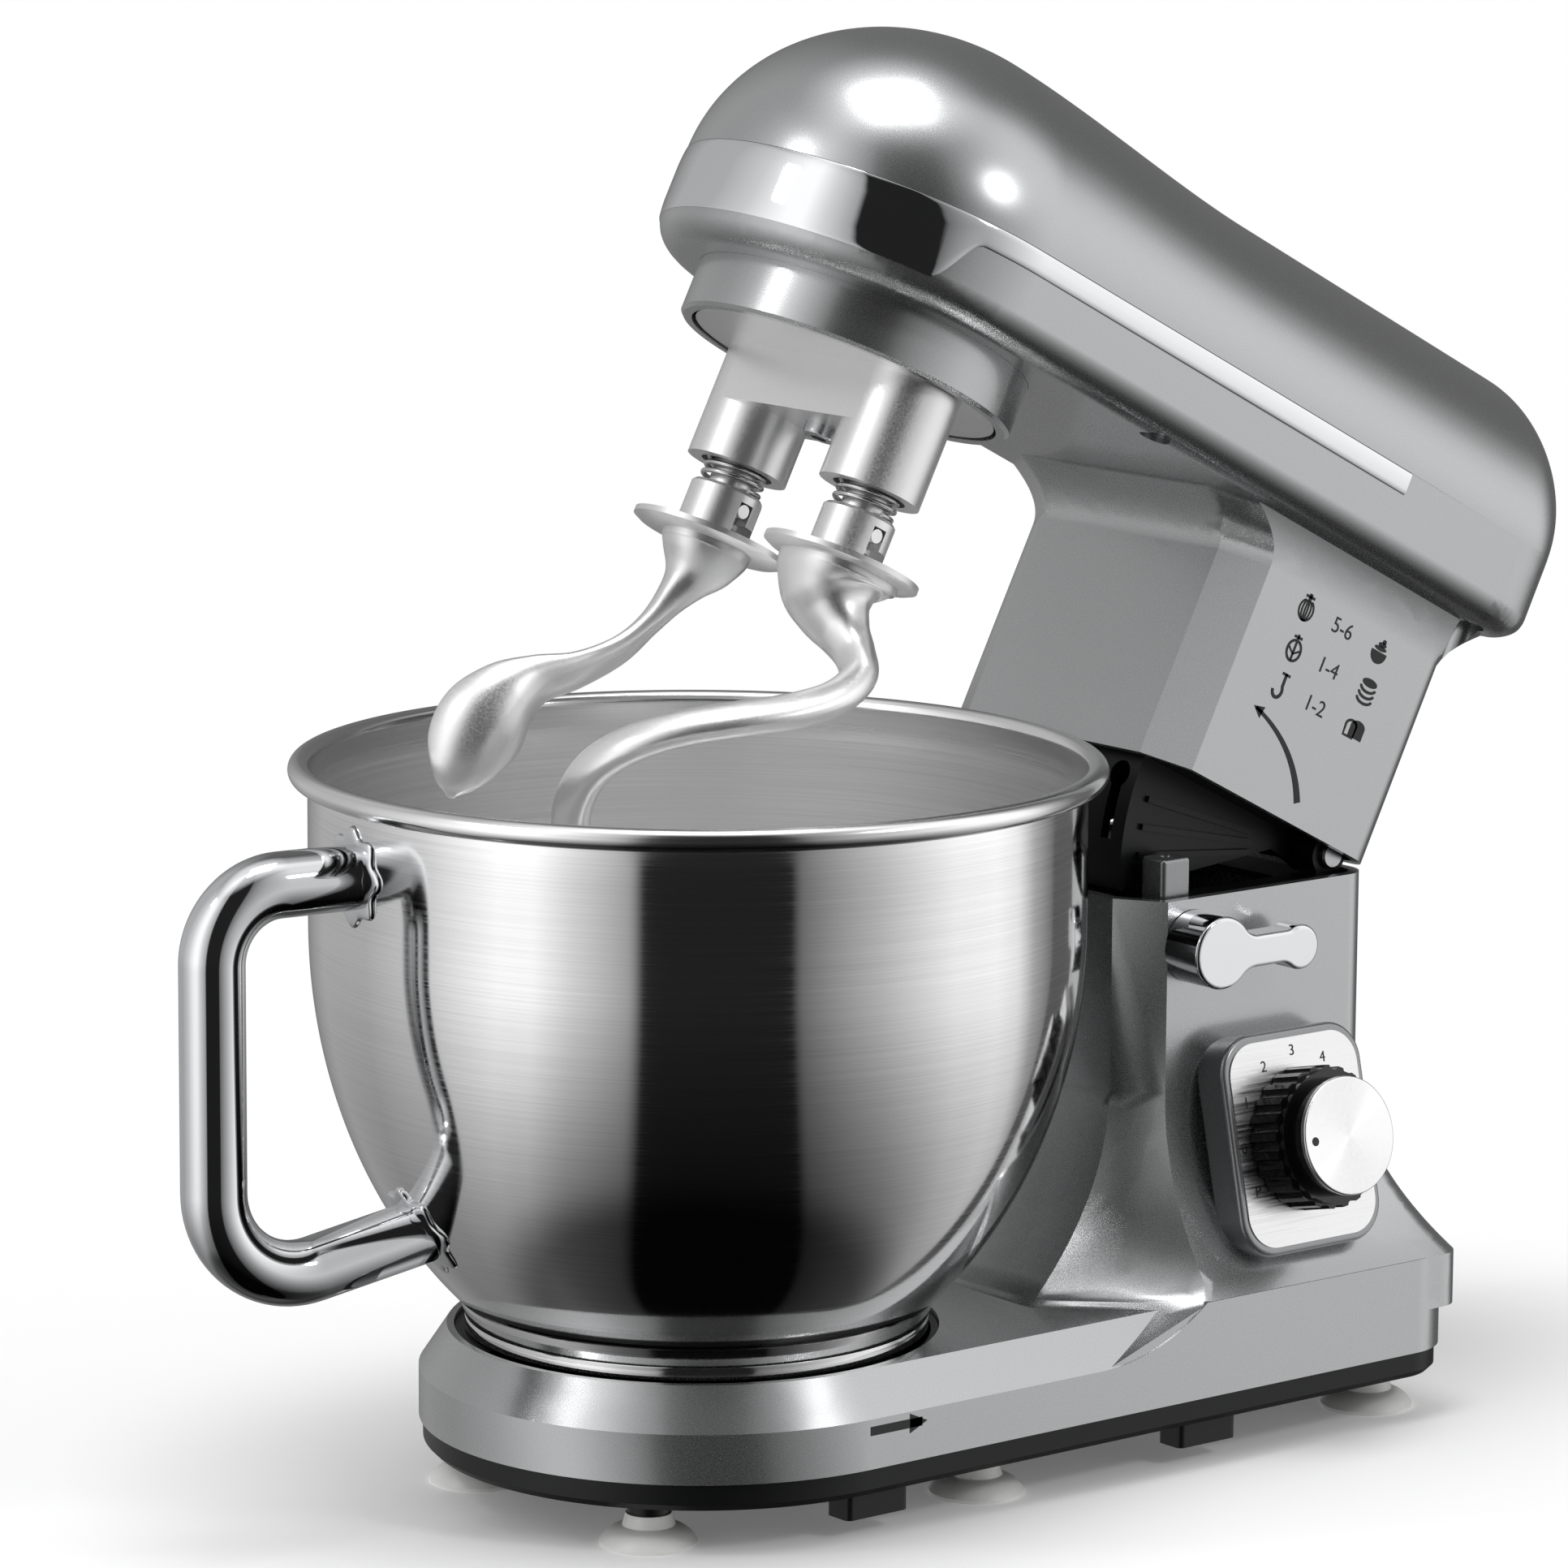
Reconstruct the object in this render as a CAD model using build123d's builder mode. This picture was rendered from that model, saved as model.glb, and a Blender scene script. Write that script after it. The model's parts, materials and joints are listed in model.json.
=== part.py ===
"""Tilt-head kitchen stand mixer with a steel bowl and a pair of dough hooks.

Millimetres, +Z up. The origin is on the table under the bowl's axis, +X is the side with the knob
and the lever, and -Y is the front. The pieces of the head are drawn level, as when it is shut, and
are then turned up about the hinge to the raised pose.
"""

import os
from math import asin, cos, pi, radians, sin, sqrt

from build123d import *

# Hinge and tilt of the head
TILT = 27.3
HINGE_Y = 202.5
HINGE_Z = 167.3
PIN_R = 4.0
RUNNING_GAP = 0.05

# Base and column
BASE_HALF = 79.6
BASE_REAR = 229.0
BASE_CORNER = 20.0
PLATE_BOTTOM = 13.5
BASE_SEAM = 21.6
BAND_TOP = 36.0
DECK_TOP = 48.0
DECK_INSET = 8.0
SHOULDER_TOP = 50.0
SHOULDER_FRONT = 85.0
SHOULDER_REAR = 125.0
WALL = 3.2
COLUMN_HALF = 53.0
COLUMN_FRONT = 122.0
COLUMN_FRONT_HALF = 39.0
COLUMN_FACET = 131.0
COLUMN_REAR = 211.5
COLUMN_CORNER = 9.0
COLUMN_TOP = 162.8
FLARE_TOP = 106.0
FLARE_POWER = 2.1
FLARE_GAP = 0.4
SWEEP_TOP = 112.0
SWEEP_LOW = 38.0
SWEEP_REACH = 52.0
SWEEP_POWER = 2.4
SWEEP_WIDEN = 11.0

# Feet under the base
FOOT_R = 13.8
FOOT_HIGH = 9.0
FOOT_PLACES = ((40.3, -48.1), (56.4, 57.8), (54.9, 212.0))
PAD_PLACES = ((68.0, 8.0), (68.0, 132.0))

# Bowl, its foot and its seat
BOWL_R = 110.4
BOWL_WALL = 1.2
BOWL_FLOOR = 46.0
BOWL_CENTRE = 165.0
BOWL_DEPTH = 137.6
RIM_Z = 209.0
RIM_R = 3.2
FOOT_RING_R = 66.4
FOOT_RING_TOP = 58.0
SEAT_R = 69.3
SEAT_GAP = 0.2
LUGS = 3
LUG_ARC = 36.0
TAB_ARC = 40.0

# Bowl handle
HANDLE_TURN = 7.0
HANDLE_R = 9.2
HANDLE_WALL = 1.2
HANDLE_REACH = 154.3
HANDLE_UPPER = 188.0
HANDLE_LOWER = 73.0
HANDLE_LOWER_END = 85.0
HANDLE_BEND = 29.0

# Head shells
SEAM = 274.4
NOSE_R = 65.3
NOSE_HIGH = 57.6
BODY_HALF = 66.0
BODY_HIGH = 52.3
DIP_Y = 100.0
HEAD_REAR = 238.6
PLAN_ROUND = 31.5
PLAN_POWER = 3.2
CROWN_ROUND = 24.8
CROWN_POWER = 1.9
LIP = 246.5
LIP_ROUND = 9.0
NECK_BOTTOM = 168.2
NECK_REAR = 212.5
HEAD_FLOOR = 250.5
SHELL_SCREWS = ((57.0, 68.0), (55.0, 212.0))
SCREW_SEAT = 251.0
SCREW_R = 2.0
SCREW_HEAD_R = 4.2
BOSS_R = 5.0

# Bright band round the nose and the strips behind it
BAND_LOW = 253.6
STRIP_LOW = 267.5
BAND_THICK = 1.6
BAND_STEP = (-39.0, -26.0)
STRIP_END = 158.0

# Hub, planet gearing and hook drive, measured on the shut head
COLLAR_R = 50.0
COLLAR_LOW = 230.5
COLLAR_BORE = 46.4
DISC_R = 45.4
DISC_LOW = 231.2
DISC_THICK = 4.6
YOKE_LOW = 214.5
LEG_LOW = 198.0
LEG_R = 15.0
ORBIT_R = 30.0
GEAR_MODULE = 1.5
RING_TEETH = 56
PLANET_TEETH = 16
GEAR_LOW = 238.0
GEAR_THICK = 8.0
SPINDLE_R = 6.4
SPRING_BORE = 10.8
SPRING_DEEP = 8.0
SPRING_R = 8.7
WIRE_R = 0.75
SPRING_TURNS = 5
COLLET_TOP = 191.5
COLLET_R = 11.0
FLANGE_R = 23.0
FLANGE_LOW = 174.9
FLANGE_TOP = 177.5
HOOK_TURN = -38.3
CROSS_PIN_R = 2.0
CROSS_PIN_Z = 186.0
SPINDLE_LOW = 181.0
SPINDLE_TOP = 246.4
BUSH_OUTER = 8.5
PRESS = 6.0

# Two-stage drive from the motor to the hub
SHAFT_R = 6.0
LAY_R = 5.0
MOTOR_R = 4.0
PLATE_LOW = 252.5
PLATE_TOP = 257.0
UPPER_LOW = 278.0
UPPER_TOP = 282.0
DRIVE_MODULE = 1.25
MAIN_TEETH = 64
PINION_TEETH = 14
LAY_Y = DRIVE_MODULE * (MAIN_TEETH + PINION_TEETH) / 2
MOTOR_Y = 166.0
PULLEY_Z = 297.0
PULLEY_HIGH = 9.0
BIG_PULLEY_R = 40.0
SMALL_PULLEY_R = 8.0
BELT_THICK = 1.6

# Lever and speed knob
LEVER_Y = 140.4
LEVER_Z = 148.9
LEVER_FACE = 67.5
LEVER_BIG = 10.7
LEVER_SMALL = 6.7
LEVER_LONG = 30.3
DIAL_LEAN = 13.0
DIAL_X = 69.9
DIAL_Y = 170.0
DIAL_Z = 90.5
DIAL_WIDE = 50.0
DIAL_TALL = 60.0
DIAL_CORNER = 10.0
KNOB_R = 21.0
KNOB_LONG = 20.5
KNOB_FLUTES = 24
KNOB_CAP_R = 17.4
DIAL_SHAFT_R = 3.5
BUSH_R = 6.0

hinge_axis = Axis((0, HINGE_Y, HINGE_Z), (1, 0, 0))
dial_plane = Plane(
    origin=(DIAL_X, DIAL_Y, DIAL_Z),
    x_dir=(0, 1, 0),
    z_dir=(cos(radians(DIAL_LEAN)), 0, sin(radians(DIAL_LEAN))),
)
os.makedirs("parts", exist_ok=True)


def save(part, name, on_head=False):
    """Labels a finished piece and writes it, turned up about the hinge if it belongs to the head."""
    piece = part.rotate(hinge_axis, -TILT) if on_head else part
    piece.label = name
    export_step(piece, f"parts/{name}.step")


def level(z):
    """A horizontal plane at height z."""
    return Plane.XY.offset(z)


def base_plan(z, inset):
    """Plan of the base: half round in front, straight sides and rounded rear corners."""
    half = BASE_HALF - inset
    rear = BASE_REAR - inset
    with BuildSketch(level(z)) as plan:
        Circle(half)
        with Locations((0, rear / 2)):
            Rectangle(2 * half, rear)
        fillet(plan.vertices().group_by(Axis.Y)[-1], BASE_CORNER - inset)
    return plan.sketch


def column_plan(z, inset=0.0):
    """Plan of the column at height z: upright above, spreading to the base below."""
    flare = max(0, min(1, (FLARE_TOP - z) / (FLARE_TOP - SHOULDER_TOP))) ** FLARE_POWER
    sweep = max(0, (SWEEP_TOP - z) / (SWEEP_TOP - SWEEP_LOW)) ** SWEEP_POWER
    side = COLUMN_HALF + flare * (BASE_HALF - FLARE_GAP - COLUMN_HALF) - inset
    rear = COLUMN_REAR + flare * (BASE_REAR - FLARE_GAP - COLUMN_REAR) - inset
    front = COLUMN_FRONT - sweep * SWEEP_REACH + inset
    front_half = COLUMN_FRONT_HALF + sweep * SWEEP_WIDEN - inset / 2
    facet_slope = (SHOULDER_REAR - SHOULDER_FRONT) / (SHOULDER_TOP - BAND_TOP)
    facet = COLUMN_FACET - 4 * flare - facet_slope * max(0, SHOULDER_TOP - z) + inset / 2
    with BuildSketch(level(z)) as plan:
        Polygon(
            (-front_half, front),
            (front_half, front),
            (side, facet),
            (side, rear),
            (-side, rear),
            (-side, facet),
            align=None,
        )
        fillet(plan.vertices().group_by(Axis.Y)[-1], COLUMN_CORNER - inset)
    return plan.sketch


def head_half(y):
    """Half width of the head at y: straight sides that round in at the rear."""
    part_way = max(0, min(1, (y - HEAD_REAR + PLAN_ROUND) / PLAN_ROUND))
    straight = NOSE_R + (BODY_HALF - NOSE_R) * min(1, y / DIP_Y)
    return straight * (1 - part_way**PLAN_POWER) ** (1 / PLAN_POWER)


def head_high(y):
    """Height of the crown above the seam at y: high over the nose, level behind, round at the rear."""
    part_way = max(0, min(1, (y - HEAD_REAR + CROWN_ROUND) / CROWN_ROUND))
    ease = min(1, y / DIP_Y)
    level_high = NOSE_HIGH + (BODY_HIGH - NOSE_HIGH) * ease**2 * (3 - 2 * ease)
    return level_high * (1 - part_way**CROWN_POWER) ** (1 / CROWN_POWER)


def head_dome(inset):
    """The head above its seam: a half egg at the nose, carried back by half ellipses."""
    stations = [0, 20, 40, 60, 80, DIP_Y, 160, 207, 212, 217, 222, 226.5, 230.5, 233.5, 236, 237.6, 238.4]
    with BuildPart() as dome:
        for y in stations:
            back = y - inset * max(0, (y - DIP_Y) / (HEAD_REAR - DIP_Y))
            with BuildSketch(Plane.XZ.offset(-back)):
                with BuildLine():
                    EllipticalCenterArc((0, SEAM), head_half(y) - inset, head_high(y) - inset, arc_size=180)
                    Line((-head_half(y) + inset, SEAM), (head_half(y) - inset, SEAM))
                make_face()
        loft(ruled=True)
        with BuildSketch(Plane.XZ):
            with BuildLine():
                EllipticalCenterArc((0, SEAM), NOSE_R - inset, NOSE_HIGH - inset, 90, arc_size=90)
                Line((0, SEAM + NOSE_HIGH - inset), (0, SEAM))
                Line((0, SEAM), (inset - NOSE_R, SEAM))
            make_face()
        revolve(axis=Axis.Z, revolution_arc=180)
    return dome.part


def head_plan(z, inset):
    """Plan of the head at its seam: a half round nose, straight sides and a full rear."""
    rear_start = HEAD_REAR - PLAN_ROUND
    right = [(head_half(y) - inset, y) for y in (rear_start, 217, 226, 233, 237)]
    right[1:] = [(x, y - inset * 0.6) for x, y in right[1:]]
    left = [(-x, y) for x, y in reversed(right)]
    with BuildSketch(level(z)) as plan:
        with BuildLine():
            ThreePointArc((-NOSE_R + inset, 0), (0, inset - NOSE_R), (NOSE_R - inset, 0))
            Line((NOSE_R - inset, 0), right[0])
            Spline(*right, (0, HEAD_REAR - inset), *left)
            Line(left[-1], (-NOSE_R + inset, 0))
        make_face()
    return plan.sketch


def spur_gear(teeth, module, backlash, bore):
    """A spur gear sketch: straight-flanked teeth on the root disc, thinned for running room."""
    pitch_r = teeth * module / 2
    root_r = pitch_r - 1.3 * module
    tip_r = pitch_r + 0.95 * module
    lean = 0.364
    half = pi * module / 4 - backlash
    Circle(root_r + 0.05)
    with PolarLocations(0, teeth):
        Polygon(
            (root_r - 0.4, -half - lean * module),
            (pitch_r, -half),
            (tip_r - 0.1, -half + lean * module),
            (tip_r - 0.1, half - lean * module),
            (pitch_r, half),
            (root_r - 0.4, half + lean * module),
            align=None,
        )
    if bore:
        Circle(bore, mode=Mode.SUBTRACT)


def biarc(start, start_dir, end, end_dir):
    """Two tangent arcs from start to end that leave and arrive along the given unit directions."""
    chord = end - start
    both = start_dir + end_dir
    spread = 2 * (1 - start_dir.dot(end_dir))
    along = chord.dot(both)
    reach = (sqrt(along**2 + spread * chord.dot(chord)) - along) / spread
    middle = (start + start_dir * reach + end - end_dir * reach) * 0.5
    middle_dir = (end - end_dir * reach - start - start_dir * reach).normalized()
    TangentArc(start, middle, tangent=start_dir)
    TangentArc(middle, end, tangent=middle_dir)


def coil(centre_x, low, high, coil_r, wire_r, turns):
    """An open compression spring about a vertical line, wound from half-turn biarcs."""
    pitch = (high - low - 2 * wire_r) / turns
    slope = pitch / (2 * pi * coil_r)
    steps = 2 * turns
    points = []
    dirs = []
    for step in range(steps + 1):
        turn = pi * step
        rise = low + wire_r + pitch * step / 2
        points.append(Vector(centre_x + coil_r * cos(turn), coil_r * sin(turn), rise))
        dirs.append(Vector(-sin(turn), cos(turn), slope).normalized())
    with BuildPart() as spring:
        with BuildLine() as path:
            for step in range(steps):
                biarc(points[step], dirs[step], points[step + 1], dirs[step + 1])
        with BuildSketch(Plane(origin=points[0], z_dir=dirs[0])):
            Circle(wire_r)
        sweep()
    samples = [path.wires()[0] @ (k / (60 * turns)) for k in range(60 * turns + 1)]
    gaps = [
        (samples[a] - samples[b]).length - 2 * wire_r
        for a in range(len(samples))
        for b in range(a + 40, len(samples))
    ]
    print(f"spring at x {centre_x:.0f}: least gap between turns {min(gaps):.2f} mm")
    return spring.part


# Base housing: base, deck bevel, swept column
with BuildPart() as base_housing:
    extrude(base_plan(BASE_SEAM, 0), amount=SHOULDER_TOP - BASE_SEAM)
    with BuildSketch(Plane.YZ):
        with BuildLine():
            Line((-2 * BASE_HALF, BAND_TOP), (SHOULDER_FRONT, BAND_TOP))
            TangentArc((SHOULDER_FRONT, BAND_TOP), (SHOULDER_REAR, SHOULDER_TOP), tangent=(1, 0))
            Polyline(
                (SHOULDER_REAR, SHOULDER_TOP),
                (SHOULDER_REAR, 2 * SHOULDER_TOP),
                (-2 * BASE_HALF, 2 * SHOULDER_TOP),
                (-2 * BASE_HALF, BAND_TOP),
            )
        make_face()
    extrude(amount=2 * BASE_HALF, both=True, mode=Mode.SUBTRACT)
    with BuildSketch(level(BAND_TOP)):
        Circle(BASE_HALF)
        with Locations((0, SHOULDER_REAR / 2)):
            Rectangle(2 * BASE_HALF, SHOULDER_REAR)
    with BuildSketch(level(DECK_TOP)):
        Circle(BASE_HALF - DECK_INSET)
        with Locations((0, SHOULDER_REAR / 2)):
            Rectangle(2 * (BASE_HALF - DECK_INSET), SHOULDER_REAR)
    loft(ruled=True)
    loft([column_plan(z) for z in (34, 39, 44, SHOULDER_TOP)])
    loft([column_plan(z) for z in (SHOULDER_TOP, 57, 66, 78, 92, FLARE_TOP)])
    extrude(column_plan(FLARE_TOP), amount=COLUMN_TOP - FLARE_TOP)
    extrude(base_plan(BASE_SEAM, WALL), amount=BAND_TOP - WALL - BASE_SEAM, mode=Mode.SUBTRACT)
    extrude(column_plan(SWEEP_TOP, WALL), amount=COLUMN_TOP - SWEEP_TOP, mode=Mode.SUBTRACT)
    extrude(column_plan(SWEEP_TOP, WALL), amount=BASE_SEAM - SWEEP_TOP, mode=Mode.SUBTRACT)
    with Locations((0, 0, DECK_TOP)):
        Cylinder(SEAT_R + SEAT_GAP, 2 * DECK_TOP, mode=Mode.SUBTRACT)
    with BuildSketch(Plane.YZ.offset(COLUMN_HALF + 1)):
        with Locations((LEVER_Y, LEVER_Z)):
            Circle(4.5 + RUNNING_GAP)
    extrude(amount=-2 * WALL, mode=Mode.SUBTRACT)
    with BuildSketch(dial_plane):
        Circle(BUSH_R)
    extrude(amount=-40, mode=Mode.SUBTRACT)
    with BuildSketch(Plane.XZ.offset(-BASE_REAR - 1)):
        with Locations((-40, 30)):
            Circle(6)
    extrude(amount=3 * WALL, mode=Mode.SUBTRACT)
    with BuildSketch(Plane.XZ.offset(WALL - COLUMN_REAR)):
        with GridLocations(60, 46, 2, 2):
            with Locations((0, 90)):
                Circle(3)
    extrude(amount=5)
save(base_housing.part, "base_housing")

# Base plate with its stems and locating pads
with BuildPart() as base_plate:
    extrude(base_plan(PLATE_BOTTOM, 1.2), amount=BASE_SEAM - PLATE_BOTTOM)
    chamfer(base_plate.edges().group_by(Axis.Z)[0], 2)
    extrude(base_plan(PLATE_BOTTOM + WALL, 2 * WALL), amount=BASE_SEAM, mode=Mode.SUBTRACT)
    for side in (-1, 1):
        with BuildSketch(level(PLATE_BOTTOM)):
            with Locations(*[(side * x, y) for x, y in FOOT_PLACES]):
                Circle(6)
        extrude(amount=FOOT_HIGH - PLATE_BOTTOM)
        with BuildSketch(level(PLATE_BOTTOM)):
            with Locations(*[(side * x, y) for x, y in PAD_PLACES]):
                RectangleRounded(10, 22, 2)
        extrude(amount=-8)
    with BuildSketch(level(PLATE_BOTTOM)):
        with GridLocations(100, 150, 2, 2):
            with Locations((0, 90)):
                Circle(2)
    extrude(amount=WALL, mode=Mode.SUBTRACT)
save(base_plate.part, "base_plate")

# Suction feet: soft cups, hollow underneath
with BuildPart() as suction_feet:
    with BuildSketch(Plane.XZ):
        with BuildLine():
            Polyline((0, FOOT_HIGH), (6.5, FOOT_HIGH), (7.5, 5.5))
            RadiusArc((7.5, 5.5), (FOOT_R, 1), 9)
            Polyline((FOOT_R, 1), (FOOT_R, 0), (FOOT_R - 2, 0))
            RadiusArc((FOOT_R - 2, 0), (3, 3), 20)
            Polyline((3, 3), (0, 3), (0, FOOT_HIGH))
        make_face()
    cup = revolve(axis=Axis.Z, mode=Mode.PRIVATE)
    for side in (-1, 1):
        for x, y in FOOT_PLACES:
            add(cup.moved(Location((side * x, y, 0))))
save(suction_feet.part, "suction_feet")

# Screws that hold the base plate
with BuildPart() as base_screws:
    with BuildSketch(level(PLATE_BOTTOM - 2)):
        with GridLocations(100, 150, 2, 2):
            with Locations((0, 90)):
                Circle(4)
    extrude(amount=2)
    with BuildSketch(level(PLATE_BOTTOM)):
        with GridLocations(100, 150, 2, 2):
            with Locations((0, 90)):
                Circle(2)
    extrude(amount=WALL + 3)
save(base_screws.part, "base_screws")

# Bowl seat with inward bayonet tabs
with BuildPart() as bowl_seat:
    with BuildSketch(Plane.XZ):
        with BuildLine():
            Polyline(
                (20, 29.8),
                (73, 29.8),
                (73, BAND_TOP - WALL),
                (SEAT_R, BAND_TOP - WALL),
                (SEAT_R, DECK_TOP - 1.5),
                (SEAT_R - 2.2, DECK_TOP - 1.5),
                (SEAT_R - 2.2, 33),
                (20, 33),
                close=True,
            )
        make_face()
    revolve(axis=Axis.Z)
    with BuildSketch(Plane.XZ):
        with Locations((64.8, 44.9)):
            Rectangle(5.4, 3.6)
    tab = revolve(axis=Axis.Z, revolution_arc=TAB_ARC, mode=Mode.PRIVATE)
    for lug in range(LUGS):
        add(tab.rotate(Axis.Z, lug * 360 / LUGS - TAB_ARC / 2))
save(bowl_seat.part, "bowl_seat")

# Black cap in the column's open top, with the hinge ears and the plunger guide
PLUNGER_X = 42.8
PLUNGER_Y = 139.0
PLUNGER_WIDE = 10.0
PLUNGER_DEEP = 11.0
PLUNGER_TOP = 174.0
with BuildPart() as column_cap:
    extrude(column_plan(SWEEP_TOP, WALL), amount=COLUMN_TOP - 1.5 - SWEEP_TOP)
    with Locations((0, HINGE_Y - 60, SWEEP_TOP)):
        Box(72.5, 100, 200, mode=Mode.SUBTRACT)
    with Locations((0, HINGE_Y, 90)):
        Box(200, 300, 136, mode=Mode.SUBTRACT)
    with Locations((0, HINGE_Y, 170)):
        Box(72.5, 60, 20, mode=Mode.SUBTRACT)
    with BuildSketch(Plane.YZ.offset(36)):
        with Locations((HINGE_Y, HINGE_Z)):
            Circle(6.5)
        with Locations((HINGE_Y, HINGE_Z - 4.5)):
            Rectangle(10, 9)
        with Locations((HINGE_Y, HINGE_Z)):
            Circle(PIN_R, mode=Mode.SUBTRACT)
    ear = extrude(amount=8)
    mirror(ear, about=Plane.YZ)
    with Locations((PLUNGER_X, PLUNGER_Y, COLUMN_TOP)):
        Box(PLUNGER_WIDE + 0.6, PLUNGER_DEEP + 0.6, 60, mode=Mode.SUBTRACT)
save(column_cap.part, "column_cap")

# Hinge pin
with BuildPart() as hinge_pin:
    with BuildSketch(Plane.YZ.offset(-46)):
        with Locations((HINGE_Y, HINGE_Z)):
            Circle(PIN_R)
    extrude(amount=92)
    chamfer(hinge_pin.edges(), 0.6)
save(hinge_pin.part, "hinge_pin")

# Safety plunger beside the hinge opening
with BuildPart() as interlock_plunger:
    with BuildSketch(level(144)):
        with Locations((PLUNGER_X, PLUNGER_Y)):
            RectangleRounded(PLUNGER_WIDE, PLUNGER_DEEP, 1.5)
    extrude(amount=PLUNGER_TOP - 144)
    fillet(interlock_plunger.edges().group_by(Axis.Z)[-1], 1.2)
    with Locations((PLUNGER_X, PLUNGER_Y, PLUNGER_TOP)):
        Sphere(2, mode=Mode.SUBTRACT)
save(interlock_plunger.part, "interlock_plunger")

# Switch that the plunger works
with BuildPart() as interlock_switch:
    with Locations((PLUNGER_X - 2.4, PLUNGER_Y + 2.5, 127)):
        Box(8.8, 20, 16)
    with Locations((PLUNGER_X, PLUNGER_Y, 136)):
        Box(4, 5, 3)
    with Locations((PLUNGER_X + 4.5, PLUNGER_Y + 4, 123.5)):
        Box(5, 10, 8)
save(interlock_switch.part, "interlock_switch")

# Dial: bezel, brushed plate, rotary switch
with BuildPart() as dial_bezel:
    with BuildSketch(dial_plane):
        RectangleRounded(DIAL_WIDE + 5, DIAL_TALL + 5, DIAL_CORNER + 2)
    extrude(amount=-12)
    fillet(dial_bezel.faces().sort_by(Axis.X)[-1].edges(), 1.5)
    with BuildSketch(dial_plane):
        RectangleRounded(DIAL_WIDE, DIAL_TALL, DIAL_CORNER)
    extrude(amount=-1, mode=Mode.SUBTRACT)
    with BuildSketch(dial_plane):
        Circle(DIAL_SHAFT_R + 0.5)
    extrude(amount=-20, mode=Mode.SUBTRACT)
    add(base_housing.part, mode=Mode.SUBTRACT)
save(dial_bezel.part, "dial_bezel")

with BuildPart() as dial_plate:
    with BuildSketch(dial_plane.offset(-1)):
        RectangleRounded(DIAL_WIDE, DIAL_TALL, DIAL_CORNER)
        Circle(DIAL_SHAFT_R + 0.5, mode=Mode.SUBTRACT)
    extrude(amount=1.4)
save(dial_plate.part, "dial_plate")

with BuildPart() as speed_switch:
    with BuildSketch(dial_plane.offset(-46)):
        RectangleRounded(30, 30, 2)
    extrude(amount=18)
    with BuildSketch(dial_plane.offset(-28)):
        Circle(BUSH_R)
    extrude(amount=15.5)
    with BuildSketch(dial_plane.offset(-12.5)):
        Circle(DIAL_SHAFT_R + RUNNING_GAP)
    extrude(amount=-25.5, mode=Mode.SUBTRACT)
save(speed_switch.part, "speed_switch")

# Control board on the rear wall of the column
with BuildPart() as control_board:
    with Locations((0, COLUMN_REAR - WALL - 5.8, 90)):
        Box(72, 1.6, 58)
    with Locations((-18, COLUMN_REAR - WALL - 13.6, 96)):
        Box(24, 14, 26)
    with Locations((18, COLUMN_REAR - WALL - 12.6, 82)):
        Box(18, 12, 18)
save(control_board.part, "control_board")

# Bush where the supply lead passes the rear wall
with BuildPart() as cord_gland:
    with BuildSketch(Plane.XZ.offset(-BASE_REAR + WALL)):
        with Locations((-40, 30)):
            Circle(6)
    extrude(amount=-WALL - 0.1)
    with BuildSketch(Plane.XZ.offset(-BASE_REAR)):
        with Locations((-40, 30)):
            Circle(7.5)
    extrude(amount=-2)
    with BuildSketch(Plane.XZ.offset(-BASE_REAR - 3)):
        with Locations((-40, 30)):
            Circle(3.6)
    extrude(amount=12, mode=Mode.SUBTRACT)
save(cord_gland.part, "cord_gland")

# Release lever, its shaft and the latch arm inside the column
with BuildPart() as release_lever:
    with BuildSketch(Plane.YZ.offset(COLUMN_HALF + 0.4)):
        with Locations((LEVER_Y, LEVER_Z)):
            Circle(LEVER_BIG)
    extrude(amount=LEVER_FACE - COLUMN_HALF - 0.4)
    with BuildSketch(Plane.YZ.offset(LEVER_FACE - 8)) as bone:
        with Locations((LEVER_Y, LEVER_Z)):
            Circle(LEVER_BIG)
        with Locations((LEVER_Y + LEVER_LONG, LEVER_Z - 1.8)):
            Circle(LEVER_SMALL)
        with Locations((LEVER_Y + LEVER_LONG / 2, LEVER_Z - 0.9)):
            Rectangle(LEVER_LONG, 9.4)
        fillet(bone.vertices(), 7)
    extrude(amount=8)
    fillet(release_lever.faces().sort_by(Axis.X)[-1].edges(), 1.2)
    with BuildSketch(Plane.YZ.offset(COLUMN_HALF)):
        with Locations((LEVER_Y, LEVER_Z)):
            Circle(4.5)
    extrude(amount=7, mode=Mode.SUBTRACT)
save(release_lever.part, "release_lever")

with BuildPart() as lever_shaft:
    with BuildSketch(Plane.YZ.offset(48.1)):
        with Locations((LEVER_Y, LEVER_Z)):
            Circle(4.5)
    extrude(amount=COLUMN_HALF + 7 - 48.1)
save(lever_shaft.part, "lever_shaft")

with BuildPart() as latch_arm:
    with BuildSketch(Plane.YZ.offset(48.1)):
        with Locations((LEVER_Y, LEVER_Z)):
            Circle(8)
        with Locations((LEVER_Y, LEVER_Z - 9)):
            Rectangle(7, 18)
        with Locations((LEVER_Y, LEVER_Z)):
            Circle(4.5, mode=Mode.SUBTRACT)
    extrude(amount=1.5)
save(latch_arm.part, "latch_arm")

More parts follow.
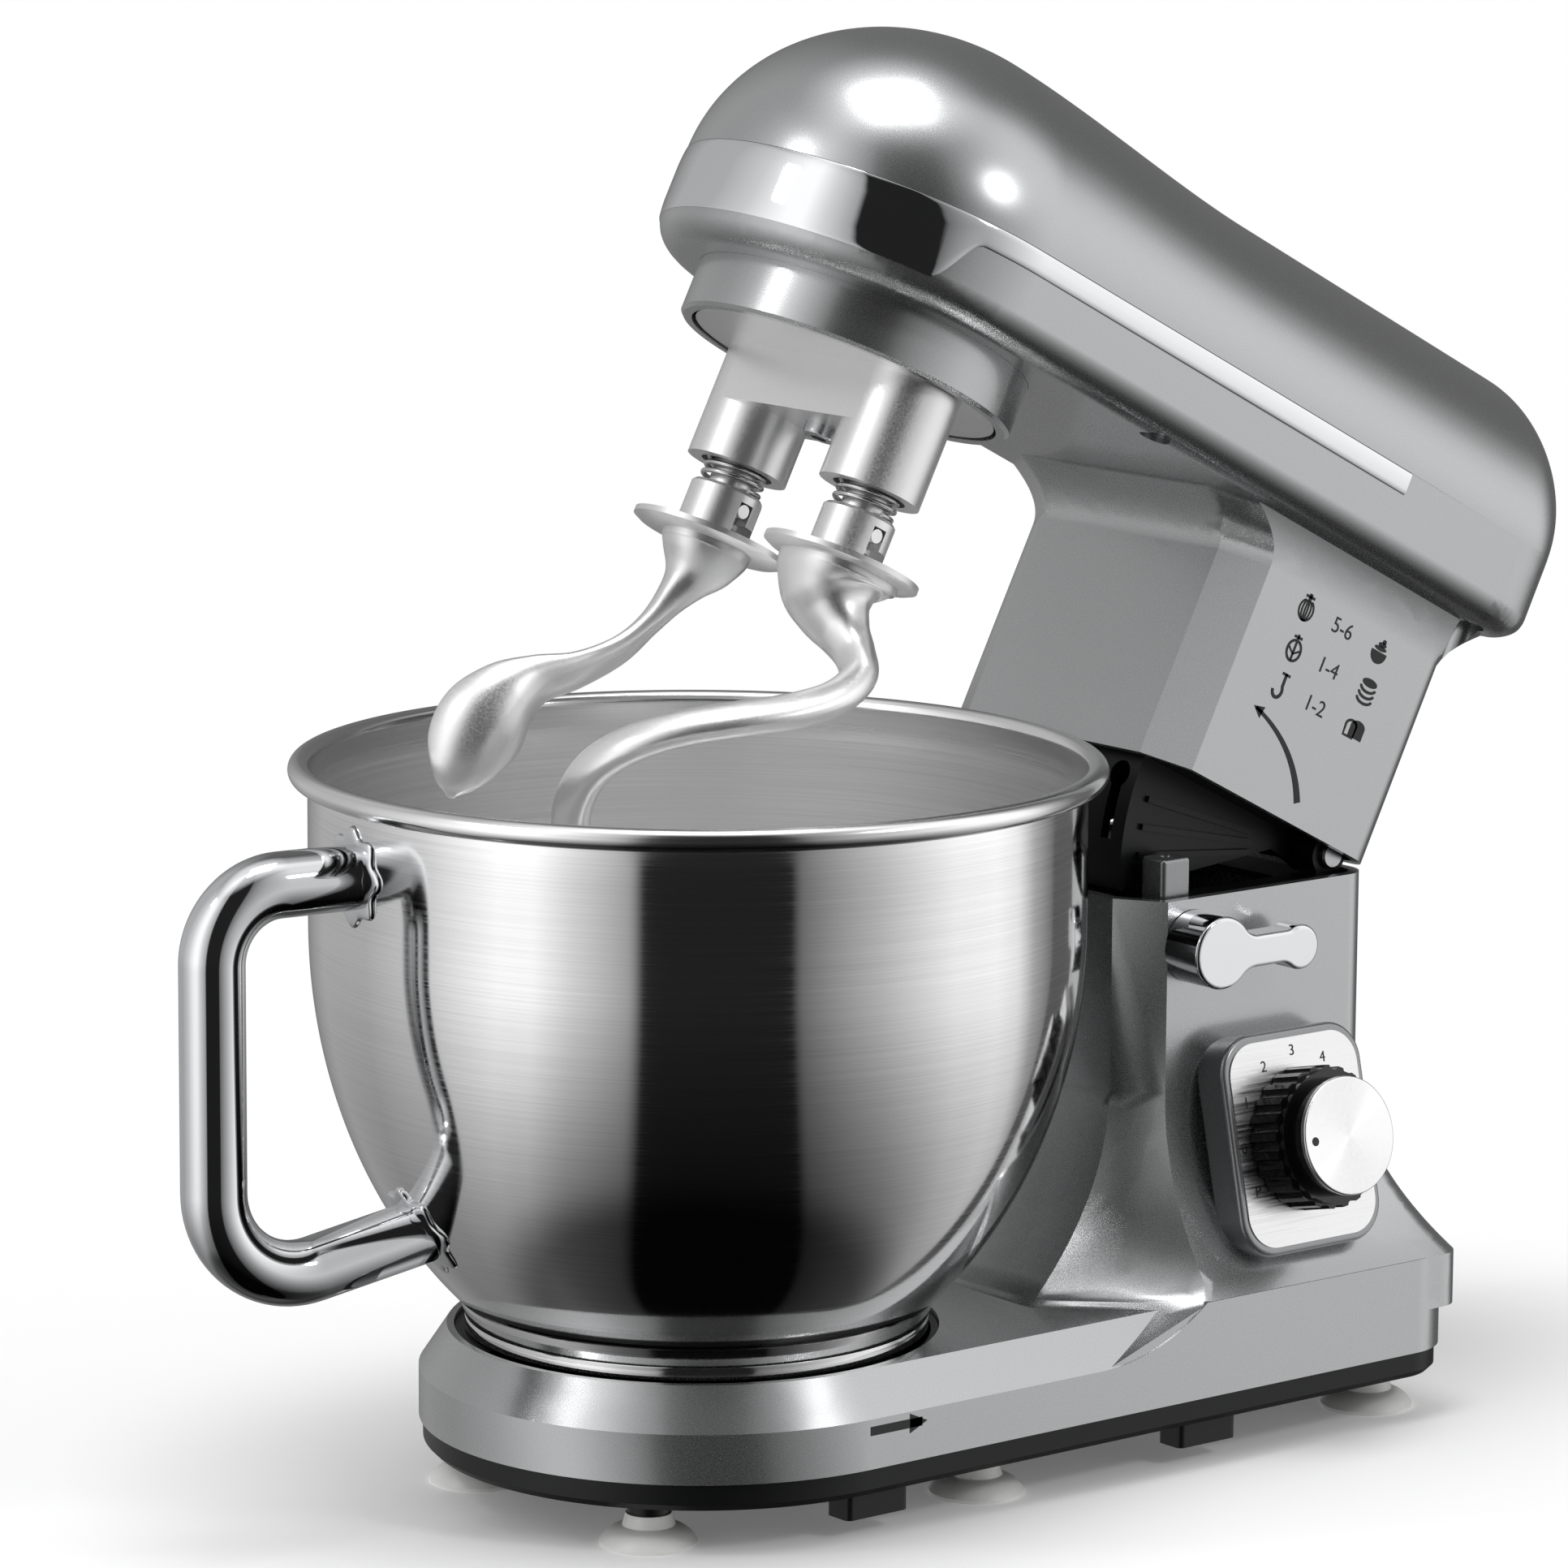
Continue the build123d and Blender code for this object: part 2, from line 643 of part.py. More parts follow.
# Speed knob: fluted skirt, spun cap, shaft
with BuildPart() as speed_knob:
    with BuildSketch(dial_plane.offset(0.8)):
        Circle(KNOB_R)
        with PolarLocations(KNOB_R + 0.7, KNOB_FLUTES):
            Circle(1.9, mode=Mode.SUBTRACT)
    extrude(amount=11)
    with BuildSketch(dial_plane.offset(0.8)):
        Circle(KNOB_R - 1.4)
    extrude(amount=13)
    with BuildSketch(dial_plane.offset(13.8)):
        Circle(KNOB_CAP_R)
    extrude(amount=5)
    with BuildSketch(dial_plane.offset(0.8)):
        Circle(DIAL_SHAFT_R)
    extrude(amount=10, mode=Mode.SUBTRACT)
save(speed_knob.part, "speed_knob")

with BuildPart() as knob_cap:
    with BuildSketch(dial_plane.offset(18.8)):
        Circle(KNOB_CAP_R)
    extrude(amount=KNOB_LONG - 18.8)
    fillet(knob_cap.edges().sort_by(Axis.X)[-1], 0.6)
save(knob_cap.part, "knob_cap")

with BuildPart() as knob_shaft:
    with BuildSketch(dial_plane.offset(-36)):
        Circle(DIAL_SHAFT_R)
    extrude(amount=36 + 10.8)
save(knob_shaft.part, "knob_shaft")


def bowl_r(z, out=0.0):
    """Outer radius of the bowl's wall at height z, swollen by out."""
    drop = max(0, BOWL_CENTRE - z) / (BOWL_DEPTH + out)
    return (BOWL_R + out) * sqrt(1 - drop**2)


def bowl_arc(out, low):
    """The curved part of the wall's outline, from height low up to where it turns straight."""
    angle = asin((BOWL_CENTRE - low) / (BOWL_DEPTH + out))
    wide = BOWL_R + out
    deep = BOWL_DEPTH + out
    turns = [angle * step / 8 for step in range(9)]
    points = [(wide * cos(turn), BOWL_CENTRE - deep * sin(turn)) for turn in turns]
    Spline(*points, tangents=((0, -1), (-wide * sin(angle), -deep * cos(angle))))


# Bowl with a rolled rim
with BuildPart() as bowl:
    with BuildSketch(Plane.XZ):
        with BuildLine():
            bowl_arc(0, BOWL_FLOOR)
            Line((BOWL_R, BOWL_CENTRE), (BOWL_R, RIM_Z))
            Line((BOWL_R, RIM_Z), (BOWL_R - BOWL_WALL, RIM_Z))
            Line((BOWL_R - BOWL_WALL, RIM_Z), (BOWL_R - BOWL_WALL, BOWL_CENTRE))
            bowl_arc(-BOWL_WALL, BOWL_FLOOR + BOWL_WALL)
            Polyline(
                (bowl_r(BOWL_FLOOR + BOWL_WALL, -BOWL_WALL), BOWL_FLOOR + BOWL_WALL),
                (0, BOWL_FLOOR + BOWL_WALL),
                (0, BOWL_FLOOR),
            )
            Line((0, BOWL_FLOOR), (bowl_r(BOWL_FLOOR), BOWL_FLOOR))
        make_face()
        with Locations((BOWL_R + RIM_R - BOWL_WALL + 0.4, RIM_Z)):
            Circle(RIM_R)
    revolve(axis=Axis.Z)
save(bowl.part, "bowl")

# Filled outline of the bowl, used to trim what is welded to it
with BuildPart() as bowl_fill:
    with BuildSketch(Plane.XZ):
        with BuildLine():
            bowl_arc(0, BOWL_FLOOR)
            Polyline((BOWL_R, BOWL_CENTRE), (BOWL_R, RIM_Z), (0, RIM_Z), (0, BOWL_FLOOR))
            Line((0, BOWL_FLOOR), (bowl_r(BOWL_FLOOR), BOWL_FLOOR))
        make_face()
    revolve(axis=Axis.Z)

# Foot ring under the bowl, with bayonet lugs
with BuildPart() as bowl_foot_ring:
    with BuildSketch(Plane.XZ):
        with BuildLine():
            Polyline(
                (56, 38.5),
                (61.2, 38.5),
                (61.2, 47),
                (FOOT_RING_R - 1, 47),
                (FOOT_RING_R, 48),
                (FOOT_RING_R, 50.4),
                (FOOT_RING_R - 0.8, 51),
                (FOOT_RING_R, 51.6),
                (FOOT_RING_R + 2.4, FOOT_RING_TOP),
                (56, FOOT_RING_TOP),
                close=True,
            )
        make_face()
    revolve(axis=Axis.Z)
    with BuildSketch(Plane.XZ):
        with Locations((63.4, 40.4)):
            Rectangle(5.6, 3.8)
    lug = revolve(axis=Axis.Z, revolution_arc=LUG_ARC, mode=Mode.PRIVATE)
    for turn in range(LUGS):
        add(lug.rotate(Axis.Z, turn * 360 / LUGS - LUG_ARC / 2))
    add(bowl_fill.part, mode=Mode.SUBTRACT)
save(bowl_foot_ring.part, "bowl_foot_ring")

# Tubular handle in the plane that holds the bowl's axis
handle_plane = Plane.XZ.rotated((0, 0, -90 - HANDLE_TURN))
with BuildPart() as bowl_handle:
    with BuildLine(handle_plane) as route:
        FilletPolyline(
            (BOWL_R - 8, HANDLE_UPPER),
            (HANDLE_REACH, HANDLE_UPPER),
            (HANDLE_REACH, HANDLE_LOWER),
            (bowl_r(HANDLE_LOWER_END) - 8, HANDLE_LOWER_END),
            radius=HANDLE_BEND,
        )
    with BuildSketch(Plane(origin=route.line @ 0, z_dir=route.line % 0)):
        Circle(HANDLE_R)
        Circle(HANDLE_R - HANDLE_WALL, mode=Mode.SUBTRACT)
    sweep()
    add(bowl_fill.part, mode=Mode.SUBTRACT)
save(bowl_handle.part, "bowl_handle")

# Scalloped brackets that spread each end of the handle on the wall
upper_end = Plane(origin=route.line @ 0, z_dir=(route.line % 0) * -1)
lower_end = Plane(origin=route.line @ 1, z_dir=route.line % 1)
with BuildPart() as bracket_lobes:
    for end_plane in (upper_end, lower_end):
        with BuildSketch(end_plane):
            Circle(12.6)
            with PolarLocations(11.6, 8):
                Circle(2.8)
            Circle(HANDLE_R, mode=Mode.SUBTRACT)
        extrude(amount=26, both=True)

with BuildPart() as handle_brackets:
    with BuildSketch(Plane.XZ):
        with BuildLine():
            bowl_arc(1.4, 60)
            Line((BOWL_R + 1.4, BOWL_CENTRE), (BOWL_R + 1.4, RIM_Z - RIM_R - 1))
            Polyline((BOWL_R + 1.4, RIM_Z - RIM_R - 1), (60, RIM_Z - RIM_R - 1), (60, 60))
            Line((60, 60), (bowl_r(60, 1.4), 60))
        make_face()
    revolve(axis=Axis.Z)
    add(bowl_fill.part, mode=Mode.SUBTRACT)
    add(bracket_lobes.part, mode=Mode.INTERSECT)
save(handle_brackets.part, "handle_brackets")

# Head: upper shell, with a boss for each shell screw
with BuildPart() as dome_room:
    add(head_dome(WALL))
    with BuildSketch(level(SEAM - 1)):
        for side in (-1, 1):
            with Locations(*[(side * x, y) for x, y in SHELL_SCREWS]):
                Circle(BOSS_R)
    extrude(amount=60, mode=Mode.SUBTRACT)

with BuildPart() as head_top_shell:
    add(head_dome(0))
    add(dome_room.part, mode=Mode.SUBTRACT)
    with BuildSketch(level(SEAM)):
        for side in (-1, 1):
            with Locations(*[(side * x, y) for x, y in SHELL_SCREWS]):
                Circle(SCREW_R)
    extrude(amount=10, mode=Mode.SUBTRACT)
save(head_top_shell.part, "head_top_shell", on_head=True)

# Bright band: tall round the nose, a narrow strip along each side
with BuildPart() as chrome_band:
    extrude(head_plan(BAND_LOW, -0.3), amount=SEAM - BAND_LOW)
    extrude(head_plan(BAND_LOW, BAND_THICK), amount=SEAM - BAND_LOW, mode=Mode.SUBTRACT)
    with BuildSketch(Plane.YZ) as below_strip:
        with BuildLine():
            Spline(
                (BAND_STEP[0], BAND_LOW - 1),
                (BAND_STEP[1], STRIP_LOW),
                tangents=((1, 0.4), (1, 0)),
            )
            Polyline(
                (BAND_STEP[1], STRIP_LOW),
                (STRIP_END, STRIP_LOW),
                (STRIP_END, SEAM + 1),
                (HEAD_REAR + 10, SEAM + 1),
                (HEAD_REAR + 10, BAND_LOW - 1),
                (BAND_STEP[0], BAND_LOW - 1),
            )
        make_face()
    extrude(amount=2 * BODY_HALF, both=True, mode=Mode.SUBTRACT)
save(chrome_band.part, "chrome_band", on_head=True)


def neck_plan(z, spread, rear_spread, front_reach, inset=0.0):
    """Plan of the neck, as the column's, spread on the sides, the rear and the front."""
    side = COLUMN_HALF + spread - inset
    rear = NECK_REAR + rear_spread - inset
    front = COLUMN_FRONT - front_reach + inset
    with BuildSketch(level(z)) as plan:
        Polygon(
            (-COLUMN_FRONT_HALF - spread, front),
            (COLUMN_FRONT_HALF + spread, front),
            (side, COLUMN_FACET - front_reach + inset / 2),
            (side, rear),
            (-side, rear),
            (-side, COLUMN_FACET - front_reach + inset / 2),
            align=None,
        )
        fillet(plan.vertices().group_by(Axis.Y)[-1], COLUMN_CORNER + spread - inset)
    return plan.sketch


def rear_slope(shift):
    """What is cut away below the head's rear, where it slopes in to the neck."""
    outline = [(NECK_REAR, 233), (217.5, 242.5), (228, 252), (235, 263.6), (239.2, SEAM)]
    curve = [(y - shift, z) for y, z in outline]
    with BuildPart() as slope:
        with BuildSketch(Plane.YZ):
            with BuildLine():
                Spline(*curve)
                Polyline(curve[-1], (270, SEAM), (270, 225), (curve[0][0], 225), curve[0])
            make_face()
        extrude(amount=100, both=True)
    return slope.part


# Head: lower shell with the hollow neck
NECK_FAIRING = ((232, 0, 0, 0), (239, 0.5, 4, 3), (245, 1.9, 10, 12), (251, 4.4, 16, 28), (257, 8, 22, 50))
with BuildPart() as head_cavity:
    extrude(head_plan(HEAD_FLOOR, WALL), amount=SEAM - HEAD_FLOOR)
    add(rear_slope(WALL + 1.2), mode=Mode.SUBTRACT)
    with BuildSketch(level(HEAD_FLOOR)):
        for side in (-1, 1):
            with Locations(*[(side * x, y) for x, y in SHELL_SCREWS]):
                Circle(BOSS_R)
    extrude(amount=SEAM - HEAD_FLOOR, mode=Mode.SUBTRACT)
    extrude(neck_plan(NECK_BOTTOM, 0, 0, 0, WALL), amount=HEAD_FLOOR + 4 - NECK_BOTTOM)

with BuildPart() as head_lower_shell:
    extrude(head_plan(LIP, 0), amount=SEAM - LIP)
    fillet(head_lower_shell.edges().group_by(Axis.Z)[0], LIP_ROUND)
    extrude(neck_plan(NECK_BOTTOM, 0, 0, 0), amount=232 - NECK_BOTTOM)
    loft([neck_plan(*station) for station in NECK_FAIRING])
    add(rear_slope(0), mode=Mode.SUBTRACT)
    add(head_cavity.part, mode=Mode.SUBTRACT)
    with Locations((0, 0, HEAD_FLOOR)):
        Cylinder(COLLAR_R + 0.1, 40, mode=Mode.SUBTRACT)
    with BuildSketch(level(SEAM)):
        for side in (-1, 1):
            with Locations(*[(side * x, y) for x, y in SHELL_SCREWS]):
                Circle(SCREW_R)
    extrude(amount=-40, mode=Mode.SUBTRACT)
    with BuildSketch(level(SCREW_SEAT)):
        for side in (-1, 1):
            with Locations(*[(side * x, y) for x, y in SHELL_SCREWS]):
                Circle(SCREW_HEAD_R + 0.3)
    extrude(amount=-20, mode=Mode.SUBTRACT)
    add(chrome_band.part, mode=Mode.SUBTRACT)
save(head_lower_shell.part, "head_lower_shell", on_head=True)

with BuildPart() as shell_screws:
    with BuildSketch(level(SCREW_SEAT)):
        for side in (-1, 1):
            with Locations(*[(side * x, y) for x, y in SHELL_SCREWS]):
                Circle(SCREW_HEAD_R)
    extrude(amount=-2.2)
    with BuildSketch(level(SCREW_SEAT)):
        for side in (-1, 1):
            with Locations(*[(side * x, y) for x, y in SHELL_SCREWS]):
                Circle(SCREW_R)
    extrude(amount=SEAM + 9 - SCREW_SEAT)
save(shell_screws.part, "shell_screws", on_head=True)

# Black insert under the neck: a curved skirt that dips into the column, on two hinge plates
SKIRT_R = 74.0
SKIRT_HALF = 34.5
SKIRT_WALL = 3.0
SKIRT_SWING = 30.0
skirt_end = (HINGE_Y - SKIRT_R * cos(radians(SKIRT_SWING)), HINGE_Z - SKIRT_R * sin(radians(SKIRT_SWING)))
skirt_top = NECK_BOTTOM + 4.8
with BuildPart() as neck_insert:
    extrude(neck_plan(NECK_BOTTOM + 0.8, 0, 0, 0, WALL), amount=4)
    with Locations((0, 236, 171)):
        Box(120, 100, 20, mode=Mode.SUBTRACT)
    with BuildSketch(Plane.YZ.offset(-SKIRT_HALF)):
        with BuildLine():
            CenterArc((HINGE_Y, HINGE_Z), SKIRT_R, 180, SKIRT_SWING)
            Polyline(
                skirt_end,
                (HINGE_Y - 14, HINGE_Z - 5),
                (HINGE_Y, HINGE_Z - 6),
                (HINGE_Y, skirt_top),
                (HINGE_Y - SKIRT_R, skirt_top),
                (HINGE_Y - SKIRT_R, HINGE_Z),
            )
        make_face()
        with Locations((HINGE_Y, HINGE_Z)):
            Circle(6.5)
    extrude(amount=2 * SKIRT_HALF)
    with BuildSketch(Plane.YZ.offset(-SKIRT_HALF + SKIRT_WALL)):
        with Locations((HINGE_Y, HINGE_Z)):
            Circle(SKIRT_R - SKIRT_WALL)
    extrude(amount=2 * (SKIRT_HALF - SKIRT_WALL), mode=Mode.SUBTRACT)
    for swing in (8, 15, 22):
        with BuildSketch(Plane.YZ.offset(SKIRT_HALF)):
            with Locations((HINGE_Y, HINGE_Z)):
                with PolarLocations(46, 1, start_angle=180 + swing):
                    Rectangle(44, 1.8)
        extrude(amount=1.2)
    with BuildSketch(Plane.XZ.offset(-HINGE_Y + SKIRT_R + 10)):
        with Locations((27, HINGE_Z - 14)):
            Rectangle(4.4, 20)
        with Locations((27, HINGE_Z - 5)):
            Circle(4)
    extrude(amount=-22, mode=Mode.SUBTRACT)
    with BuildSketch(Plane.YZ.offset(-60)):
        with Locations((HINGE_Y, HINGE_Z)):
            Circle(PIN_R + RUNNING_GAP)
    extrude(amount=120, mode=Mode.SUBTRACT)
save(neck_insert.part, "neck_insert", on_head=True)

# Collar round the hub and the fixed ring gear inside it
with BuildPart() as hub_collar:
    with BuildSketch(Plane.XZ):
        with BuildLine():
            Polyline(
                (COLLAR_BORE, COLLAR_LOW),
                (COLLAR_R - 1, COLLAR_LOW),
                (COLLAR_R, COLLAR_LOW + 1),
                (COLLAR_R, HEAD_FLOOR),
                (COLLAR_R + 5, HEAD_FLOOR),
                (COLLAR_R + 5, HEAD_FLOOR + 2),
                (COLLAR_BORE, HEAD_FLOOR + 2),
                close=True,
            )
        make_face()
    revolve(axis=Axis.Z)
save(hub_collar.part, "hub_collar", on_head=True)

with BuildPart() as ring_gear:
    with BuildSketch(level(GEAR_LOW - 0.5)):
        Circle(COLLAR_BORE)
        Circle(RING_TEETH * GEAR_MODULE / 2 + 1.35 * GEAR_MODULE, mode=Mode.SUBTRACT)
        pitch_r = RING_TEETH * GEAR_MODULE / 2
        thick = pi * GEAR_MODULE / 4 - 0.3
        with PolarLocations(0, RING_TEETH, start_angle=180 / RING_TEETH):
            Polygon(
                (pitch_r - 0.9 * GEAR_MODULE, -thick + 0.33 * GEAR_MODULE),
                (pitch_r + 1.6 * GEAR_MODULE, -thick - 0.5 * GEAR_MODULE),
                (pitch_r + 1.6 * GEAR_MODULE, thick + 0.5 * GEAR_MODULE),
                (pitch_r - 0.9 * GEAR_MODULE, thick - 0.33 * GEAR_MODULE),
                align=None,
            )
    extrude(amount=GEAR_THICK + 1)
save(ring_gear.part, "ring_gear", on_head=True)

# Hub that turns in the collar: disc, yoke and two legs for the hook spindles
with BuildPart() as planet_carrier:
    with BuildSketch(level(DISC_LOW)):
        Circle(DISC_R)
    extrude(amount=DISC_THICK)
    with BuildSketch(level(DISC_LOW + DISC_THICK)):
        Circle(12)
    extrude(amount=250 - DISC_LOW - DISC_THICK)
    with BuildSketch(level(YOKE_LOW)):
        SlotCenterToCenter(2 * ORBIT_R, 2 * LEG_R)
    extrude(amount=DISC_LOW - YOKE_LOW)
    with BuildSketch(level(LEG_LOW)):
        with Locations((-ORBIT_R, 0), (ORBIT_R, 0)):
            Circle(LEG_R)
    extrude(amount=YOKE_LOW - LEG_LOW)
    with BuildSketch(level(LEG_LOW)):
        with Locations((-ORBIT_R, 0), (ORBIT_R, 0)):
            Circle(SPRING_BORE)
    extrude(amount=SPRING_DEEP, mode=Mode.SUBTRACT)
    with BuildSketch(level(LEG_LOW)):
        with Locations((-ORBIT_R, 0), (ORBIT_R, 0)):
            Circle(BUSH_OUTER)
    extrude(amount=60, mode=Mode.SUBTRACT)
    with BuildSketch(level(YOKE_LOW)):
        Circle(2.5)
    extrude(amount=60, mode=Mode.SUBTRACT)
    with BuildSketch(level(226)):
        Circle(SHAFT_R)
    extrude(amount=60, mode=Mode.SUBTRACT)
save(planet_carrier.part, "planet_carrier", on_head=True)

with BuildPart() as spindle_bushes:
    with BuildSketch(level(LEG_LOW + SPRING_DEEP)):
        with Locations((-ORBIT_R, 0), (ORBIT_R, 0)):
            Circle(BUSH_OUTER)
            Circle(SPINDLE_R + RUNNING_GAP, mode=Mode.SUBTRACT)
    extrude(amount=DISC_LOW + DISC_THICK - LEG_LOW - SPRING_DEEP)
save(spindle_bushes.part, "spindle_bushes", on_head=True)

with BuildPart() as main_shaft:
    with BuildSketch(level(226)):
        Circle(SHAFT_R)
    extrude(amount=284 - 226)
    with BuildSketch(level(226)):
        Circle(2.5)
    extrude(amount=16, mode=Mode.SUBTRACT)
save(main_shaft.part, "main_shaft", on_head=True)

with BuildPart() as hub_screw:
    with BuildSketch(level(YOKE_LOW)):
        Circle(5.2)
    extrude(amount=-3.4)
    fillet(hub_screw.edges().group_by(Axis.Z)[0], 0.8)
    with BuildSketch(level(YOKE_LOW - 4)):
        RegularPolygon(2.6, 6)
    extrude(amount=2.4, mode=Mode.SUBTRACT)
    with BuildSketch(level(YOKE_LOW)):
        Circle(2.5)
    extrude(amount=24)
save(hub_screw.part, "hub_screw", on_head=True)

with BuildPart() as main_gear:
    with BuildSketch(level(262)):
        spur_gear(MAIN_TEETH, DRIVE_MODULE, 0.25, SHAFT_R)
        with PolarLocations(24, 6):
            Circle(7, mode=Mode.SUBTRACT)
    extrude(amount=10)
save(main_gear.part, "main_gear", on_head=True)

# Spindles with their planet gears, cross pins and springs, one on each leg
for side, letter in ((1, "a"), (-1, "b")):
    with BuildPart() as spindle:
        with BuildSketch(level(SPINDLE_LOW)):
            with Locations((side * ORBIT_R, 0)):
                Circle(SPINDLE_R)
        extrude(amount=SPINDLE_TOP - SPINDLE_LOW)
        with BuildSketch(Plane.YZ.offset(side * ORBIT_R)):
            with Locations((0, CROSS_PIN_Z)):
                Circle(CROSS_PIN_R)
        extrude(amount=COLLET_R - 0.6, both=True)
    save(spindle.part, f"spindle_{letter}", on_head=True)
    with BuildPart() as planet_gear:
        with BuildSketch(level(GEAR_LOW)):
            with Locations((side * ORBIT_R, 0)):
                spur_gear(PLANET_TEETH, GEAR_MODULE, 0.3, SPINDLE_R)
        extrude(amount=GEAR_THICK)
    save(planet_gear.part, f"planet_gear_{letter}", on_head=True)
    spring = coil(side * ORBIT_R, COLLET_TOP + 0.1, LEG_LOW + SPRING_DEEP - 0.1, SPRING_R, WIRE_R, SPRING_TURNS)
    save(spring, f"hook_spring_{letter}", on_head=True)


def hook_top():
    """Collet, splash flange and neck of a hook, about its own vertical line, flange underside at zero."""
    shift = -FLANGE_LOW
    with BuildPart() as top:
        with BuildSketch(Plane.XZ):
            with BuildLine():
                Polyline(
                    (0, -14),
                    (6, -14),
                    (10, 0),
                    (FLANGE_R - 2, 0),
                    (FLANGE_R, 1),
                    (FLANGE_R, FLANGE_TOP + shift),
                    (COLLET_R, FLANGE_TOP + shift),
                    (COLLET_R, COLLET_TOP + shift - 1),
                    (COLLET_R - 1, COLLET_TOP + shift),
                    (0, COLLET_TOP + shift),
                    close=True,
                )
            make_face()
        revolve(axis=Axis.Z)
        with BuildSketch(level(SPINDLE_LOW - PRESS - 0.5 + shift)):
            Circle(SPINDLE_R + RUNNING_GAP)
        extrude(amount=40, mode=Mode.SUBTRACT)
        low = CROSS_PIN_Z - PRESS - CROSS_PIN_R - 0.3 + shift
        high = CROSS_PIN_Z + CROSS_PIN_R + 0.3 + shift
        wide = 2 * CROSS_PIN_R + 0.6
        with Locations((0, 0, (low + high) / 2)):
            Box(2 * COLLET_R + 2, wide, high - low, mode=Mode.SUBTRACT)
        with BuildSketch(Plane.XZ):
            with Locations((SPINDLE_R + 3, low + wide / 2)):
                Rectangle(6, wide)
        channel = revolve(axis=Axis.Z, revolution_arc=50, mode=Mode.PRIVATE)
        for turn in (0, 180):
            add(channel.rotate(Axis.Z, turn), mode=Mode.SUBTRACT)
        with Locations(Location((0, 0, low + 20), (0, 0, 50))):
            Box(2 * COLLET_R + 2, wide, 40, mode=Mode.SUBTRACT)
    return top.part


def bent_bar(stations):
    """A bar lofted through ellipses set square to its centre line in the plane of the bend."""
    count = len(stations)
    sections = []
    for index, (out, down, half_x, half_bend, twist) in enumerate(stations):
        before = stations[max(0, index - 1)]
        after = stations[min(count - 1, index + 1)]
        along = Vector(0, before[0] - after[0], before[1] - after[1]).normalized()
        square = Plane(origin=(0, -out, -down), x_dir=(1, 0, 0), z_dir=along)
        with BuildSketch(square) as section:
            Ellipse(half_x, half_bend, rotation=twist)
        sections.append(section.sketch)
    loft(sections)


SPIRAL = (
    (0, 6, 6.2, 6.2, 0),
    (2.5, 14, 5.6, 5.8, 0),
    (12, 28, 5.0, 5.4, 0),
    (32, 44, 4.8, 5.4, 0),
    (48, 57, 4.8, 5.5, 0),
    (53, 70, 4.8, 5.6, 0),
    (49, 86, 4.8, 5.6, 0),
    (38, 100, 4.8, 5.5, 0),
    (20, 112, 4.8, 5.4, 0),
    (0, 117, 4.8, 5.2, 0),
    (-16, 111, 4.6, 5.0, 0),
    (-26.5, 102, 4.2, 4.4, 0),
    (-30, 97, 2.6, 2.8, 0),
)
SPOON = (
    (0, 6, 6.2, 6.2, 0),
    (1.5, 12, 5.6, 5.8, 0),
    (8, 24, 4.6, 5.4, 0),
    (18, 36, 3.8, 5.8, 0),
    (28, 46, 3.2, 7.4, 0),
    (36, 56, 2.6, 10.5, 0),
    (42, 68, 2.2, 13.2, 0),
    (46, 80, 2.0, 11.5, 0),
    (49, 90, 1.9, 6.0, 0),
    (50, 94, 1.6, 2.6, 0),
)
for side, name, stations in ((1, "spiral_hook", SPIRAL), (-1, "spoon_hook", SPOON)):
    with BuildPart() as hook_bar:
        bent_bar(stations)
    with BuildPart() as hook:
        add(hook_top())
        add(hook_bar.part.rotate(Axis.Z, HOOK_TURN))
    save(hook.part.moved(Location((side * ORBIT_R, 0, FLANGE_LOW))), name, on_head=True)

# Gearbox plates on the collar's flange, with pillars between them
PILLARS = ((-46, -22), (46, -22), (-46, 60), (46, 60))
with BuildPart() as gearbox_plate:
    with BuildSketch(level(PLATE_LOW)):
        with Locations((0, 14)):
            RectangleRounded(106, 118, 30)
        Circle(SHAFT_R + 5, mode=Mode.SUBTRACT)
        with Locations((0, LAY_Y)):
            Circle(LAY_R + 4, mode=Mode.SUBTRACT)
    extrude(amount=PLATE_TOP - PLATE_LOW)
    with BuildSketch(level(PLATE_TOP)):
        with Locations(*PILLARS):
            Circle(4)
    extrude(amount=UPPER_LOW - PLATE_TOP)
save(gearbox_plate.part, "gearbox_plate", on_head=True)

with BuildPart() as upper_gear_plate:
    with BuildSketch(level(UPPER_LOW)):
        with Locations((0, 20)):
            RectangleRounded(104, 96, 12)
        Circle(SHAFT_R + 5, mode=Mode.SUBTRACT)
        with Locations((0, LAY_Y)):
            Circle(LAY_R + 4, mode=Mode.SUBTRACT)
    extrude(amount=UPPER_TOP - UPPER_LOW)
save(upper_gear_plate.part, "upper_gear_plate", on_head=True)

with BuildPart() as shaft_bearings:
    for low, high in ((PLATE_LOW, PLATE_TOP), (UPPER_LOW, UPPER_TOP)):
        with BuildSketch(level(low)):
            Circle(SHAFT_R + 5)
            Circle(SHAFT_R + RUNNING_GAP, mode=Mode.SUBTRACT)
        extrude(amount=high - low)
        with BuildSketch(level(low)):
            with Locations((0, LAY_Y)):
                Circle(LAY_R + 4)
                Circle(LAY_R + RUNNING_GAP, mode=Mode.SUBTRACT)
        extrude(amount=high - low)
save(shaft_bearings.part, "shaft_bearings", on_head=True)

# Layshaft between the belt and the main gear
with BuildPart() as layshaft:
    with BuildSketch(level(PLATE_LOW)):
        with Locations((0, LAY_Y)):
            Circle(LAY_R)
    extrude(amount=312 - PLATE_LOW)
save(layshaft.part, "layshaft", on_head=True)

with BuildPart() as layshaft_pinion:
    with BuildSketch(level(260)):
        with Locations((0, LAY_Y)):
            spur_gear(PINION_TEETH, DRIVE_MODULE, 0.25, LAY_R)
    extrude(amount=14)
save(layshaft_pinion.part, "layshaft_pinion", on_head=True)

